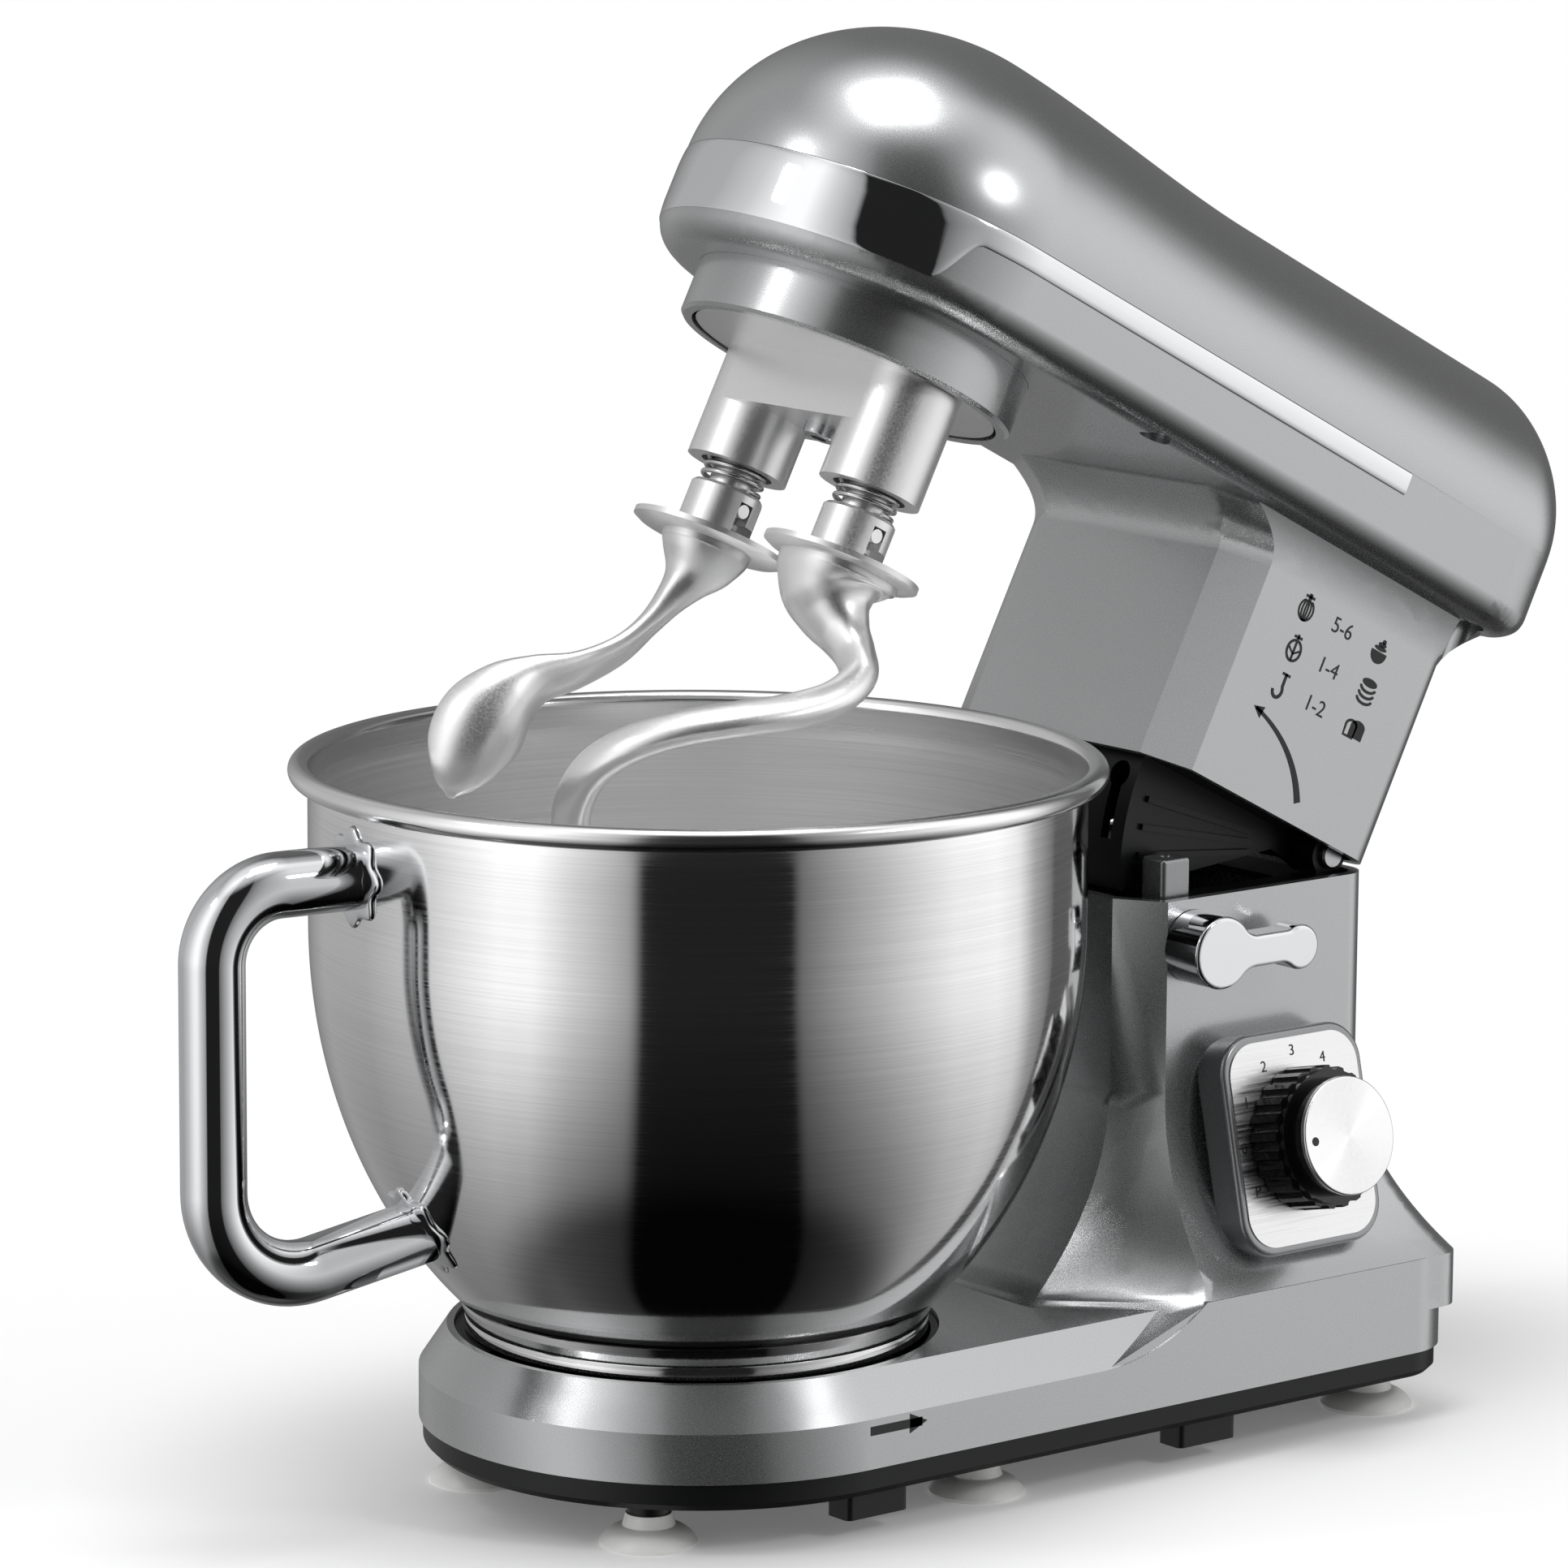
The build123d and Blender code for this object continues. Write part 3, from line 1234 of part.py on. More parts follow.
with BuildPart() as big_pulley:
    with BuildSketch(level(PULLEY_Z)):
        with Locations((0, LAY_Y)):
            Circle(BIG_PULLEY_R)
            Circle(LAY_R, mode=Mode.SUBTRACT)
            with PolarLocations(23, 6):
                Circle(8, mode=Mode.SUBTRACT)
    extrude(amount=PULLEY_HIGH)
save(big_pulley.part, "big_pulley", on_head=True)

with BuildPart() as drive_belt:
    with BuildSketch(level(PULLEY_Z + 0.5)):
        with Locations((0, LAY_Y)):
            Circle(BIG_PULLEY_R + 0.1 + BELT_THICK)
        with Locations((0, MOTOR_Y)):
            Circle(SMALL_PULLEY_R + 0.1 + BELT_THICK)
        make_hull()
        with BuildSketch(mode=Mode.SUBTRACT):
            with Locations((0, LAY_Y)):
                Circle(BIG_PULLEY_R + 0.1)
            with Locations((0, MOTOR_Y)):
                Circle(SMALL_PULLEY_R + 0.1)
            make_hull()
    extrude(amount=PULLEY_HIGH - 1)
save(drive_belt.part, "drive_belt", on_head=True)

# Motor in the neck: frame, stator, brushes and the turning parts
with BuildPart() as motor_frame:
    with Locations((0, MOTOR_Y, 258)):
        Box(116, 52, 4)
    for side in (-1, 1):
        with Locations((side * 55, MOTOR_Y, (HEAD_FLOOR + 256) / 2)):
            Box(6, 40, 256 - HEAD_FLOOR)
        with Locations((side * 29.5, MOTOR_Y, 228)):
            Box(3, 20, 56)
    with Locations((0, MOTOR_Y, 202)):
        Box(62, 20, 4)
    with Locations((0, MOTOR_Y, 230)):
        Cylinder(MOTOR_R + RUNNING_GAP, 100, mode=Mode.SUBTRACT)
save(motor_frame.part, "motor_frame", on_head=True)

with BuildPart() as motor_stator:
    with BuildSketch(level(215)):
        with Locations((0, MOTOR_Y)):
            RectangleRounded(56, 56, 6)
            Circle(17, mode=Mode.SUBTRACT)
    extrude(amount=38)
save(motor_stator.part, "motor_stator", on_head=True)

with BuildPart() as motor_brushes:
    for side in (-1, 1):
        with Locations((side * 20, MOTOR_Y, 268)):
            Box(21, 9, 16)
save(motor_brushes.part, "motor_brushes", on_head=True)

with BuildPart() as motor_shaft:
    with BuildSketch(level(198)):
        with Locations((0, MOTOR_Y)):
            Circle(MOTOR_R)
    extrude(amount=312 - 198)
save(motor_shaft.part, "motor_shaft", on_head=True)

with BuildPart() as armature:
    with BuildSketch(level(216)):
        with Locations((0, MOTOR_Y)):
            Circle(16)
            with PolarLocations(16, 12):
                Rectangle(6, 2, mode=Mode.SUBTRACT)
            Circle(MOTOR_R, mode=Mode.SUBTRACT)
    extrude(amount=36)
save(armature.part, "armature", on_head=True)

with BuildPart() as commutator:
    with BuildSketch(level(262)):
        with Locations((0, MOTOR_Y)):
            Circle(9)
            Circle(MOTOR_R, mode=Mode.SUBTRACT)
    extrude(amount=12)
save(commutator.part, "commutator", on_head=True)

with BuildPart() as motor_fan:
    with BuildSketch(level(205)):
        with Locations((0, MOTOR_Y)):
            Circle(25)
            Circle(MOTOR_R, mode=Mode.SUBTRACT)
    extrude(amount=1.6)
    with BuildSketch(level(206.6)):
        with Locations((0, MOTOR_Y)):
            with PolarLocations(17, 10):
                Rectangle(15, 1.6)
            Circle(8)
            Circle(MOTOR_R, mode=Mode.SUBTRACT)
    extrude(amount=5.4)
save(motor_fan.part, "motor_fan", on_head=True)

with BuildPart() as motor_pulley:
    with BuildSketch(level(PULLEY_Z)):
        with Locations((0, MOTOR_Y)):
            Circle(SMALL_PULLEY_R)
            Circle(MOTOR_R, mode=Mode.SUBTRACT)
    extrude(amount=PULLEY_HIGH)
save(motor_pulley.part, "motor_pulley", on_head=True)
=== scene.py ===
# %% [markdown]
# # A tilt-head stand mixer
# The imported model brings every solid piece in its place, in metres. This lesson dresses it: the
# large bright shells are drawn again as fine surfaces from the same measures, the other pieces
# keep their shape and get smooth shading, and every finish is made from nodes.

# %% Load the frame
import json
import math

import bmesh
import bpy
import numpy as np
from mathutils import Matrix, Vector


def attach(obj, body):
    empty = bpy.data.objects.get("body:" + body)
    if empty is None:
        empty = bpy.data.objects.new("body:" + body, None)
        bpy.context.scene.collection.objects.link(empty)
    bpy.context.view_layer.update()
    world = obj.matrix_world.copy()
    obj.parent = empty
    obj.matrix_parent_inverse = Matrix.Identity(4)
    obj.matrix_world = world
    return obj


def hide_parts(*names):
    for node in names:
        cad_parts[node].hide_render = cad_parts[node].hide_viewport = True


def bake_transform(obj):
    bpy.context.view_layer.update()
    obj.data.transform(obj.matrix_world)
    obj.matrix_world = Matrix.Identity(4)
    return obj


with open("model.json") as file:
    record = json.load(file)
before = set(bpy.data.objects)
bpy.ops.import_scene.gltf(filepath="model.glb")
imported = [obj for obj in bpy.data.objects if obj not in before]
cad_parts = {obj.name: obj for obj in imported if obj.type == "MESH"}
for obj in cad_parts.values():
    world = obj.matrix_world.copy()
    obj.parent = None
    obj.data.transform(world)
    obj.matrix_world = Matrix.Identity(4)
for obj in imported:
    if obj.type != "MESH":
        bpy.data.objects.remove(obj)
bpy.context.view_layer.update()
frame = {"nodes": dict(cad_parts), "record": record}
nodes, record = frame["nodes"], frame["record"]
slot_of = {row["node"]: row["material_slot"] for row in record["subparts"]}
body_of = {node: body for body, group in record["behaviour"]["bodies"].items() for node in group}

# %% [markdown]
# ## Measures shared with the solids
# Lengths are in millimetres as on a drawing, and are divided by 1000 when a mesh is made. The
# head is drawn level, as when it is shut, because that is easier to measure and to think about.
# `raised` then turns it up about the hinge. The objects could be turned instead, but a finished
# piece has its place in its mesh, so that patterns stay on it.

# %% Measures and placing
TILT = math.radians(27.3)
HINGE_Y, HINGE_Z = 202.5, 167.3
MM = 1000  # millimetres in a metre


def at_rest(points):
    """Millimetres to metres, for what stays level."""
    return np.asarray(points, float) / MM


def raised(points):
    """Turns points of the level head up about the hinge line, and gives metres."""
    points = np.asarray(points, float)
    dy, dz = points[..., 1] - HINGE_Y, points[..., 2] - HINGE_Z
    y = HINGE_Y + dy * math.cos(TILT) + dz * math.sin(TILT)
    z = HINGE_Z - dy * math.sin(TILT) + dz * math.cos(TILT)
    return np.stack([points[..., 0], y, z], -1) / MM


print("a point 100 mm before the hinge is raised to", raised([0, HINGE_Y - 100, HINGE_Z]).round(4))

# %% [markdown]
# ## From arrays to meshes
# Edit mode could merge doubles, turn faces outwards and shade them smooth by hand. Here every piece
# but the flat marks goes through one function that does so from points and faces, so all of them
# are shaded in the same way. Edges sharper than a given angle stay crisp.

# %% A piece from points and faces
SHARP = math.radians(32)
MERGE, SLIVER = 2e-6, 1e-7  # metres


def link(name, data):
    """An object for a mesh, lamp or camera, put into the scene at the origin."""
    thing = bpy.data.objects.new(name, data)
    bpy.context.scene.collection.objects.link(thing)
    return thing


def mesh_piece(name, vertices, faces):
    """A piece from points in metres and faces: merged, turned outwards and shaded smooth."""
    mesh = bpy.data.meshes.new(name)
    mesh.from_pydata(np.asarray(vertices).reshape(-1, 3).tolist(), [], [list(f) for f in faces])
    work = bmesh.new()
    work.from_mesh(mesh)
    bmesh.ops.remove_doubles(work, verts=work.verts, dist=MERGE)
    bmesh.ops.dissolve_degenerate(work, edges=work.edges, dist=SLIVER)
    bmesh.ops.recalc_face_normals(work, faces=work.faces)
    work.to_mesh(mesh)
    work.free()
    mesh.polygons.foreach_set("use_smooth", np.ones(len(mesh.polygons), bool))
    mesh.set_sharp_from_angle(angle=SHARP)
    return link(name, mesh)


print("edges over", round(math.degrees(SHARP)), "degrees stay sharp")

# %% [markdown]
# A grid of points is a surface: neighbours are joined by quads, and a direction that closes on
# itself joins its last row to its first. A turned piece is a profile carried round an axis. The
# Screw modifier could do that too, but an array has every point's place at hand for later steps.

# %% Grids and turned profiles
def grid_faces(rows, columns, ring_rows=False, ring_columns=False):
    """Quads between neighbours of a grid, numbered row by row."""
    index = np.arange(rows * columns).reshape(rows, columns)
    if ring_rows:
        index = np.vstack([index, index[:1]])
    if ring_columns:
        index = np.hstack([index, index[:, :1]])
    corners = [index[:-1, :-1], index[1:, :-1], index[1:, 1:], index[:-1, 1:]]
    return np.stack(corners, -1).reshape(-1, 4)


def surface(name, grid, ring_rows=False, ring_columns=False):
    """One grid of points (rows, columns, 3) as a piece."""
    return mesh_piece(name, grid, grid_faces(*grid.shape[:2], ring_rows, ring_columns))


def lathe(profile, turns):
    """A profile (radius r, height z) carried round the upright axis: x = r cos t, y = r sin t."""
    angle = np.linspace(0, 2 * np.pi, turns, endpoint=False)[:, None]
    x, y = profile[:, 0] * np.cos(angle), profile[:, 0] * np.sin(angle)
    return np.stack([x, y, np.broadcast_to(profile[:, 1], x.shape)], -1)


print("a grid of 3 by 4 points has", len(grid_faces(3, 4)), "quads, or as a tube",
      len(grid_faces(3, 4, ring_columns=True)))

# %% [markdown]
# Bent tubes and pressed strips have round corners. The line is first drawn with sharp corners,
# where lengths are easy to read, and each corner is then replaced by an arc. A Bezier curve could
# be bent to look like it, but an arc has the radius of the real bending tool.

# %% Rounded lines
SIDE_SHARE = 0.49  # an arc takes less than half of a side, so that two arcs never overlap


def unit(vectors):
    """Vectors shortened or stretched to length one."""
    return vectors / np.linalg.norm(vectors, axis=-1, keepdims=True)


def rounded(corners, radius, steps):
    """A line whose inner corners become arcs of that radius, or of one radius per corner."""
    corners = np.asarray(corners, float)
    radii = np.broadcast_to(np.asarray(radius, float), len(corners) - 2)
    t = np.linspace(0, 1, steps + 1)[:, None]
    line = [corners[:1]]
    for before, here, after, wanted in zip(corners[:-2], corners[1:-1], corners[2:], radii):
        back, on = unit(before - here), unit(after - here)
        half = np.arccos(np.clip(back @ on, -1, 1)) / 2
        shortest = min(np.linalg.norm(before - here), np.linalg.norm(after - here))
        reach = min(wanted / np.tan(half), SIDE_SHARE * shortest)
        middle = here + unit(back + on) * reach * np.tan(half) / np.sin(half)
        first, last = here + back * reach - middle, here + on * reach - middle
        sweep = np.pi - 2 * half
        arc = np.sin((1 - t) * sweep) * first + np.sin(t * sweep) * last
        line.append(middle + arc / np.sin(sweep))
    return np.vstack(line + [corners[-1:]])


print("a rounded corner of 4 steps has", len(rounded([(0, 0), (9, 0), (9, 9)], 2, 4)) - 2, "points")

# %% [markdown]
# Many pieces are right as the solids have them. A solid's mesh is loose triangles, which would
# show as facets, so a copy is merged and smoothed. Large faces lead its shading, because long
# thin triangles beside a rounding would otherwise bend the light on flat walls.

# %% Copies of solids
EVEN_WEIGHT = 50


def coordinates(mesh):
    """All vertex positions of a mesh as rows of x, y and z."""
    points = np.empty(len(mesh.vertices) * 3, np.float32)
    mesh.vertices.foreach_get("co", points)
    return points.reshape(-1, 3)


def smooth_copy(node):
    """A node's own triangles, merged and shaded smooth, as a piece that can stand for the node."""
    mesh = nodes[node].data
    faces = [face.vertices for face in mesh.polygons]
    piece = mesh_piece(node + "_skin", coordinates(mesh), faces)
    even = piece.modifiers.new("even shading", "WEIGHTED_NORMAL")
    even.mode, even.weight, even.keep_sharp = "FACE_AREA", EVEN_WEIGHT, True
    return piece


print("solid triangles", sum(len(node.data.polygons) for node in nodes.values()))

# %% [markdown]
# ## Finishes
# Each finish starts from the real material and how its surface was made. One function turns the
# hex colours to linear light, one adds a node with its settings and links, and one starts a
# material. Patterns read Object coordinates, so that they stay on the piece when it moves.

# %% Colours and nodes
def linear(code):
    """An sRGB hex colour as linear red, green, blue and alpha."""
    srgb = np.array([int(code[i : i + 2], 16) for i in (1, 3, 5)]) / 255
    light = np.where(srgb <= 0.04045, srgb / 12.92, ((srgb + 0.055) / 1.055) ** 2.4)
    return (*(float(c) for c in light), 1.0)


def add(tree, kind, inputs=None, **settings):
    """Adds a node, sets its properties, and fills each named input with a value or a link."""
    node = tree.nodes.new(kind)
    for key, value in settings.items():
        setattr(node, key, value)
    for key, value in (inputs or {}).items():
        if isinstance(value, bpy.types.NodeSocket):
            tree.links.new(value, node.inputs[key])
        else:
            node.inputs[key].default_value = value
    return node


def finish(name, colour, metallic, roughness, **sockets):
    """A material with one shader: gives it, its node tree, the shader and Object coordinates."""
    material = bpy.data.materials.new(name)
    material.use_nodes = True
    tree = material.node_tree
    shader = tree.nodes["Principled BSDF"]
    plain = {"Base Color": linear(colour), "Metallic": metallic, "Roughness": roughness, **sockets}
    for key, value in plain.items():
        shader.inputs[key].default_value = value
    return material, tree, shader, add(tree, "ShaderNodeTexCoord").outputs["Object"]


print("mid grey in linear light", [round(c, 3) for c in linear("#808080")])

# %% [markdown]
# Most surfaces are even all over: moulded, blasted, plated or sprayed. Their grain is one noise
# of a real size in millimetres. It lifts the surface a little, changes the gloss and changes the
# tone, all from the same spots, as real grain does. A picture of the surface could do this too,
# but noise has no seams and needs no unwrapping.

# %% Even grain
NOISE_LOW, NOISE_HIGH = 0.3, 0.7  # nearly all values of the noise lie between these
PLAIN = (1, 1, 1)


def tones(colour, change):
    """A colour made darker and lighter by a share, as two linear colours."""
    base = np.array(linear(colour))[:3]
    return (*(base * (1 - change)), 1), (*np.minimum(base * (1 + change), 1), 1)


def grain(name, colour, metallic, roughness, size_mm, depth_mm, spread, tint, stretch=PLAIN, **sockets):
    """A finish whose spots, stretched along the axes, lift it and move its roughness and tone."""
    material, tree, shader, place = finish(name, colour, metallic, roughness, **sockets)
    scale = tuple(1 / s for s in stretch)
    scaled = add(tree, "ShaderNodeMapping", {"Vector": place, "Scale": scale}).outputs["Vector"]
    fine = {"Vector": scaled, "Scale": MM / size_mm, "Detail": 3.0}
    spots = add(tree, "ShaderNodeTexNoise", fine).outputs["Fac"]
    gloss = {"Value": spots, "From Min": NOISE_LOW, "From Max": NOISE_HIGH,
             "To Min": max(0.0, roughness - spread), "To Max": roughness + spread}
    rough = add(tree, "ShaderNodeMapRange", gloss)
    tree.links.new(rough.outputs["Result"], shader.inputs["Roughness"])
    dark, light = tones(colour, tint)
    tone = add(tree, "ShaderNodeMix", {"Factor": spots, 6: dark, 7: light}, data_type="RGBA")
    tree.links.new(tone.outputs[2], shader.inputs["Base Color"])
    lift = {"Height": spots, "Strength": 1.0, "Distance": depth_mm / MM}
    tree.links.new(add(tree, "ShaderNodeBump", lift).outputs["Normal"], shader.inputs["Normal"])
    return material


print("grey, darker and lighter", [round(float(tone[0]), 3) for tone in tones("#808080", 0.1)])

# %% [markdown]
# The shells are sprayed with metallic lacquer: aluminium flake in a grey base under a clear coat.
# Two shaders could be mixed for it, but one metallic shader with a coat meets the light in the
# same order as the real layers. Real flake is 20 to 50 micrometres, and the tooth of a casting or
# a mould is about a tenth of a millimetre. Here they are drawn at 0.35 mm and more, to show at all.

# %% Lacquer and bright metals
paints = {}
# Lacquer on the shells: a broad soft gloss with a fine sparkle, and sharp faint reflections on top.
paints["silver_paint"] = grain(
    "metallic silver lacquer", "#b0b1b2", 0.90, 0.27, 0.35, 0.0008, 0.02, 0.05,
    **{"Coat Weight": 0.6, "Coat Roughness": 0.05},
)
# Lacquer on small trim: a shade darker and duller than the shells.
paints["silver_trim"] = grain(
    "silver lacquer on ABS", "#8f9092", 0.8, 0.3, 0.35, 0.003, 0.04, 0.06,
    **{"Coat Weight": 0.5, "Coat Roughness": 0.08},
)
# Plated and buffed: a mirror that waves a very little.
paints["chrome"] = grain("polished chrome plate", "#dcdddf", 1.0, 0.045, 6.0, 0.0006, 0.012, 0.01)
# Cast and blasted: bright, with wide soft highlights and a faint tooth.
paints["satin_casting"] = grain(
    "satin die-cast aluminium", "#ebebeb", 0.92, 0.35, 0.6, 0.006, 0.06, 0.05
)
# Turned and plated: small greyish glints.
paints["screw_steel"] = grain("zinc plated steel", "#b5b6b8", 1.0, 0.26, 0.5, 0.004, 0.05, 0.04)
# Drawn wire: a bright line along each turn of the coil.
paints["spring_steel"] = grain("bright spring wire", "#c4c4c4", 1.0, 0.2, 0.4, 0.003, 0.05, 0.04)
print("metals", len(paints))

# %% [markdown]
# Plastics and rubbers show how their mould was finished: spark-eroded, polished or as cut. One
# black could serve them all, but then neighbours would melt together, so each has its own gloss.
# The works inside the head and the base are seldom seen, but they have their own finish too.

# %% Plastics, rubbers and the works
# Spark-eroded mould: nearly black, with a wide dull sheen.
paints["black_plastic"] = grain(
    "black ABS, fine spark grain", "#0e0f10", 0.0, 0.38, 0.5, 0.008, 0.06, 0.15,
    **{"Specular IOR Level": 0.3},
)
# Polished mould: deep black with small sharp highlights.
paints["knob_black"] = grain("polished black ABS", "#0b0b0c", 0.0, 0.13, 1.5, 0.001, 0.03, 0.1)
# Cast silicone: white, and lit a little from within.
paints["white_rubber"] = grain(
    "white silicone", "#eeeeec", 0.0, 0.36, 1.2, 0.004, 0.05, 0.02,
    **{"Subsurface Weight": 0.25, "Subsurface Radius": (0.003, 0.003, 0.003)},
)
# Cut steel: dark grey with a broad gloss.
paints["gear_steel"] = grain("machined steel", "#8f9092", 1.0, 0.34, 0.8, 0.006, 0.06, 0.08)
# Pressed powder: yellow-brown and full of pores.
paints["bush_bronze"] = grain("sintered bronze", "#9a7a48", 1.0, 0.42, 0.6, 0.01, 0.06, 0.1)
# Stamped sheets in a stack: dark, with fine lines from sheet to sheet.
paints["stack_iron"] = grain("laminated iron", "#4b4c50", 0.9, 0.5, 0.8, 0.02, 0.06, 0.15, (1, 1, 0.3))
# Moulded acetal: black with a waxy sheen.
paints["drive_plastic"] = grain("black acetal", "#1b1c1e", 0.0, 0.45, 0.7, 0.008, 0.06, 0.1)
# Cured rubber: black and almost without gloss.
paints["belt_rubber"] = grain("black neoprene", "#151515", 0.0, 0.7, 0.9, 0.02, 0.08, 0.15)
# Solder mask over glass fibre: dark green and smooth.
paints["board"] = grain("green solder mask", "#1d4a2c", 0.0, 0.35, 2.0, 0.01, 0.05, 0.15)
print("finishes", len(paints))

# %% [markdown]
# The bowl is stainless steel, spun and then brushed round: hair-fine rings that blur what it
# mirrors up and down but hardly sideways. A wave texture would draw rings that are too regular, so
# the pattern is noise that changes 160 times faster with height than round the bowl. Real
# scratches are finer: at half a millimetre these are drawn as coarse as they need to show.

# %% Brushed finishes
INSIDE_PAINTED_LIGHT = (0.11, 0.11, 0.11, 1)  # painted light: the matt inside is coloured whiter
BRUSH_SPREAD = 0.4


def brushed(name, colour, roughness, along, line_mm, depth_mm, contrast, length, inside=0.0):
    """Metal whose tone changes fast along one axis and slowly, by length times, across it.

    Where the attribute "inside" is 1 the metal is rougher by the amount given, with painted light.
    """
    material, tree, shader, place = finish(name, colour, 1.0, roughness)
    scale = [MM / (line_mm * length)] * 3
    scale["XYZ".index(along)] = MM / line_mm
    stretched = add(tree, "ShaderNodeMapping", {"Vector": place, "Scale": tuple(scale)})
    fine = {"Vector": stretched.outputs["Vector"], "Scale": 1.0, "Detail": 4.0}
    lines = add(tree, "ShaderNodeTexNoise", fine).outputs["Fac"]
    gloss = {"Value": lines, "From Min": NOISE_LOW, "From Max": NOISE_HIGH,
             "To Min": roughness * (1 - BRUSH_SPREAD), "To Max": roughness * (1 + BRUSH_SPREAD)}
    rough = add(tree, "ShaderNodeMapRange", gloss).outputs["Result"]
    inner = add(tree, "ShaderNodeAttribute", attribute_name="inside").outputs["Fac"]
    matt = add(tree, "ShaderNodeMath", {0: inner, 1: inside, 2: rough}, operation="MULTIPLY_ADD")
    tree.links.new(matt.outputs[0], shader.inputs["Roughness"])
    dark, light = tones(colour, contrast)
    tone = add(tree, "ShaderNodeMix", {"Factor": lines, 6: dark, 7: light}, data_type="RGBA")
    # Painted light: where "inside" is 1, a fixed amount of white is added to the colour.
    white = {"Factor": inner, 6: tone.outputs[2], 7: INSIDE_PAINTED_LIGHT}
    lighter = add(tree, "ShaderNodeMix", white, data_type="RGBA", blend_type="ADD")
    tree.links.new(lighter.outputs[2], shader.inputs["Base Color"])
    lift = {"Height": lines, "Strength": 1.0, "Distance": depth_mm / MM}
    tree.links.new(add(tree, "ShaderNodeBump", lift).outputs["Normal"], shader.inputs["Normal"])
    return material


# Spun and brushed: tall soft stripes of light, crossed by faint rings.
# Inside the bowl its colour is painted whiter, as painted light.
paints["stainless"] = brushed(
    "stainless steel, brushed round", "#e6e6e6", 0.085, "Z", 0.5, 0.0008, 0.15, 160, 0.25
)
# Rolled and brushed: a pale satin plate with straight level lines.
paints["dial_aluminium"] = brushed("brushed aluminium", "#e6e6e6", 0.3, "Z", 0.45, 0.004, 0.14, 60)
print("brushed finishes added, now", len(paints))

# %% [markdown]
# The knob's cap is faced on a lathe. Its fine rings stretch each highlight across them, which the
# eye sees as two bright fans. An anisotropic shader does that without drawing a single ring: it
# only needs to know the axis that the rings run round.

# %% Spun cap
CAP_ROUGH, CAP_SPREAD = 0.24, 0.2
FACING_SCALE = 900.0  # marks about 1.1 mm long
# Faced aluminium: bright fans that turn with the light.
spun_aluminium, tree, shader, place = finish(
    "spun aluminium", "#ececec", 1.0, CAP_ROUGH, Anisotropic=0.85
)
tangent = add(tree, "ShaderNodeTangent", direction_type="RADIAL", axis="X")
tree.links.new(tangent.outputs["Tangent"], shader.inputs["Tangent"])
spots = add(tree, "ShaderNodeTexNoise", {"Vector": place, "Scale": FACING_SCALE, "Detail": 2.0})
gloss = {"Value": spots.outputs["Fac"],
         "To Min": CAP_ROUGH * (1 - CAP_SPREAD), "To Max": CAP_ROUGH * (1 + CAP_SPREAD)}
rough = add(tree, "ShaderNodeMapRange", gloss)
tree.links.new(rough.outputs["Result"], shader.inputs["Roughness"])
print("cap finish", spun_aluminium.name)

# %% [markdown]
# Every solid gets the finish that its record names. A drawn piece gets its finish and the body that
# it moves with, and the solids that it stands for are hidden. That could be written out for each
# piece, but in one function no piece can miss a part of it.

# %% Finishes on the solids
def dress(piece, body, slot, material, *stands_for):
    """Gives a piece its finish and its body, and hides the nodes that it stands for."""
    piece.data.materials.append(material)
    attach(piece, body)
    if stands_for:
        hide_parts(*stands_for)
    return piece


for name, node in nodes.items():
    node.data.materials.clear()
    node.data.materials.append(paints[slot_of[name]])
print("solids painted", len(nodes))

# %% [markdown]
# ## Bowl
# The bowl is a turned shape: an outer wall that is straight above and a quarter ellipse below,
# the same wall 1.2 mm inside it, and a rolled rim. A thin surface could get its wall from the
# Solidify modifier, but the rolled rim would pinch. So one closed profile goes round the axis.

# %% Bowl
BOWL_R, BOWL_WALL, BOWL_FLOOR = 110.4, 1.2, 46.0
BOWL_CENTRE, BOWL_DEPTH = 165.0, 137.6
RIM_Z, RIM_R, RIM_OUT = 209.0, 3.2, 0.38
ROLL_FROM, ROLL_TO, ROLL_POINTS = 205, -152, 34  # degrees round the middle of the rolled edge
CURVE_POINTS, STRAIGHT_STEPS, BOWL_TURNS = 72, 10, 288
FLOOR_STEPS_IN, FLOOR_STEPS_OUT = 15, 9


def bowl_radius(z):
    """Radius of the outer wall at height z: straight above the centre height, an ellipse below."""
    drop = np.clip(BOWL_CENTRE - np.asarray(z, float), 0, None) / BOWL_DEPTH
    return BOWL_R * np.sqrt(np.clip(1 - drop**2, 0, 1))


def bowl_side(out, low):
    """Points (radius, height) up a face that lies out from the outer wall, from low to the rim."""
    wide, deep = BOWL_R + out, BOWL_DEPTH + out
    turn = np.linspace(math.asin((BOWL_CENTRE - low) / deep), 0, CURVE_POINTS)
    curve = np.stack([wide * np.cos(turn), BOWL_CENTRE - deep * np.sin(turn)], -1)
    straight = np.linspace((wide, BOWL_CENTRE), (wide, RIM_Z), STRAIGHT_STEPS + 1)[1:]
    return np.vstack([curve, straight])


rim_x = BOWL_R + RIM_R - BOWL_WALL + RIM_OUT
roll = np.radians(np.linspace(ROLL_FROM, ROLL_TO, ROLL_POINTS))
rim = np.stack([rim_x + RIM_R * np.cos(roll), RIM_Z + RIM_R * np.sin(roll)], -1)
inner_side = bowl_side(-BOWL_WALL, BOWL_FLOOR + BOWL_WALL)
outer_side = bowl_side(0, BOWL_FLOOR)
floor_in = np.linspace((0, BOWL_FLOOR + BOWL_WALL), inner_side[0], FLOOR_STEPS_IN + 1)[:-1]
floor_out = np.linspace(outer_side[0], (0, BOWL_FLOOR), FLOOR_STEPS_OUT + 1)[1:]
bowl_profile = np.vstack([floor_in, inner_side[:-2], rim, outer_side[-3::-1], floor_out])
bowl = surface("bowl_shell", at_rest(lathe(bowl_profile, BOWL_TURNS)), ring_rows=True)
print("bowl faces", len(bowl.data.polygons))
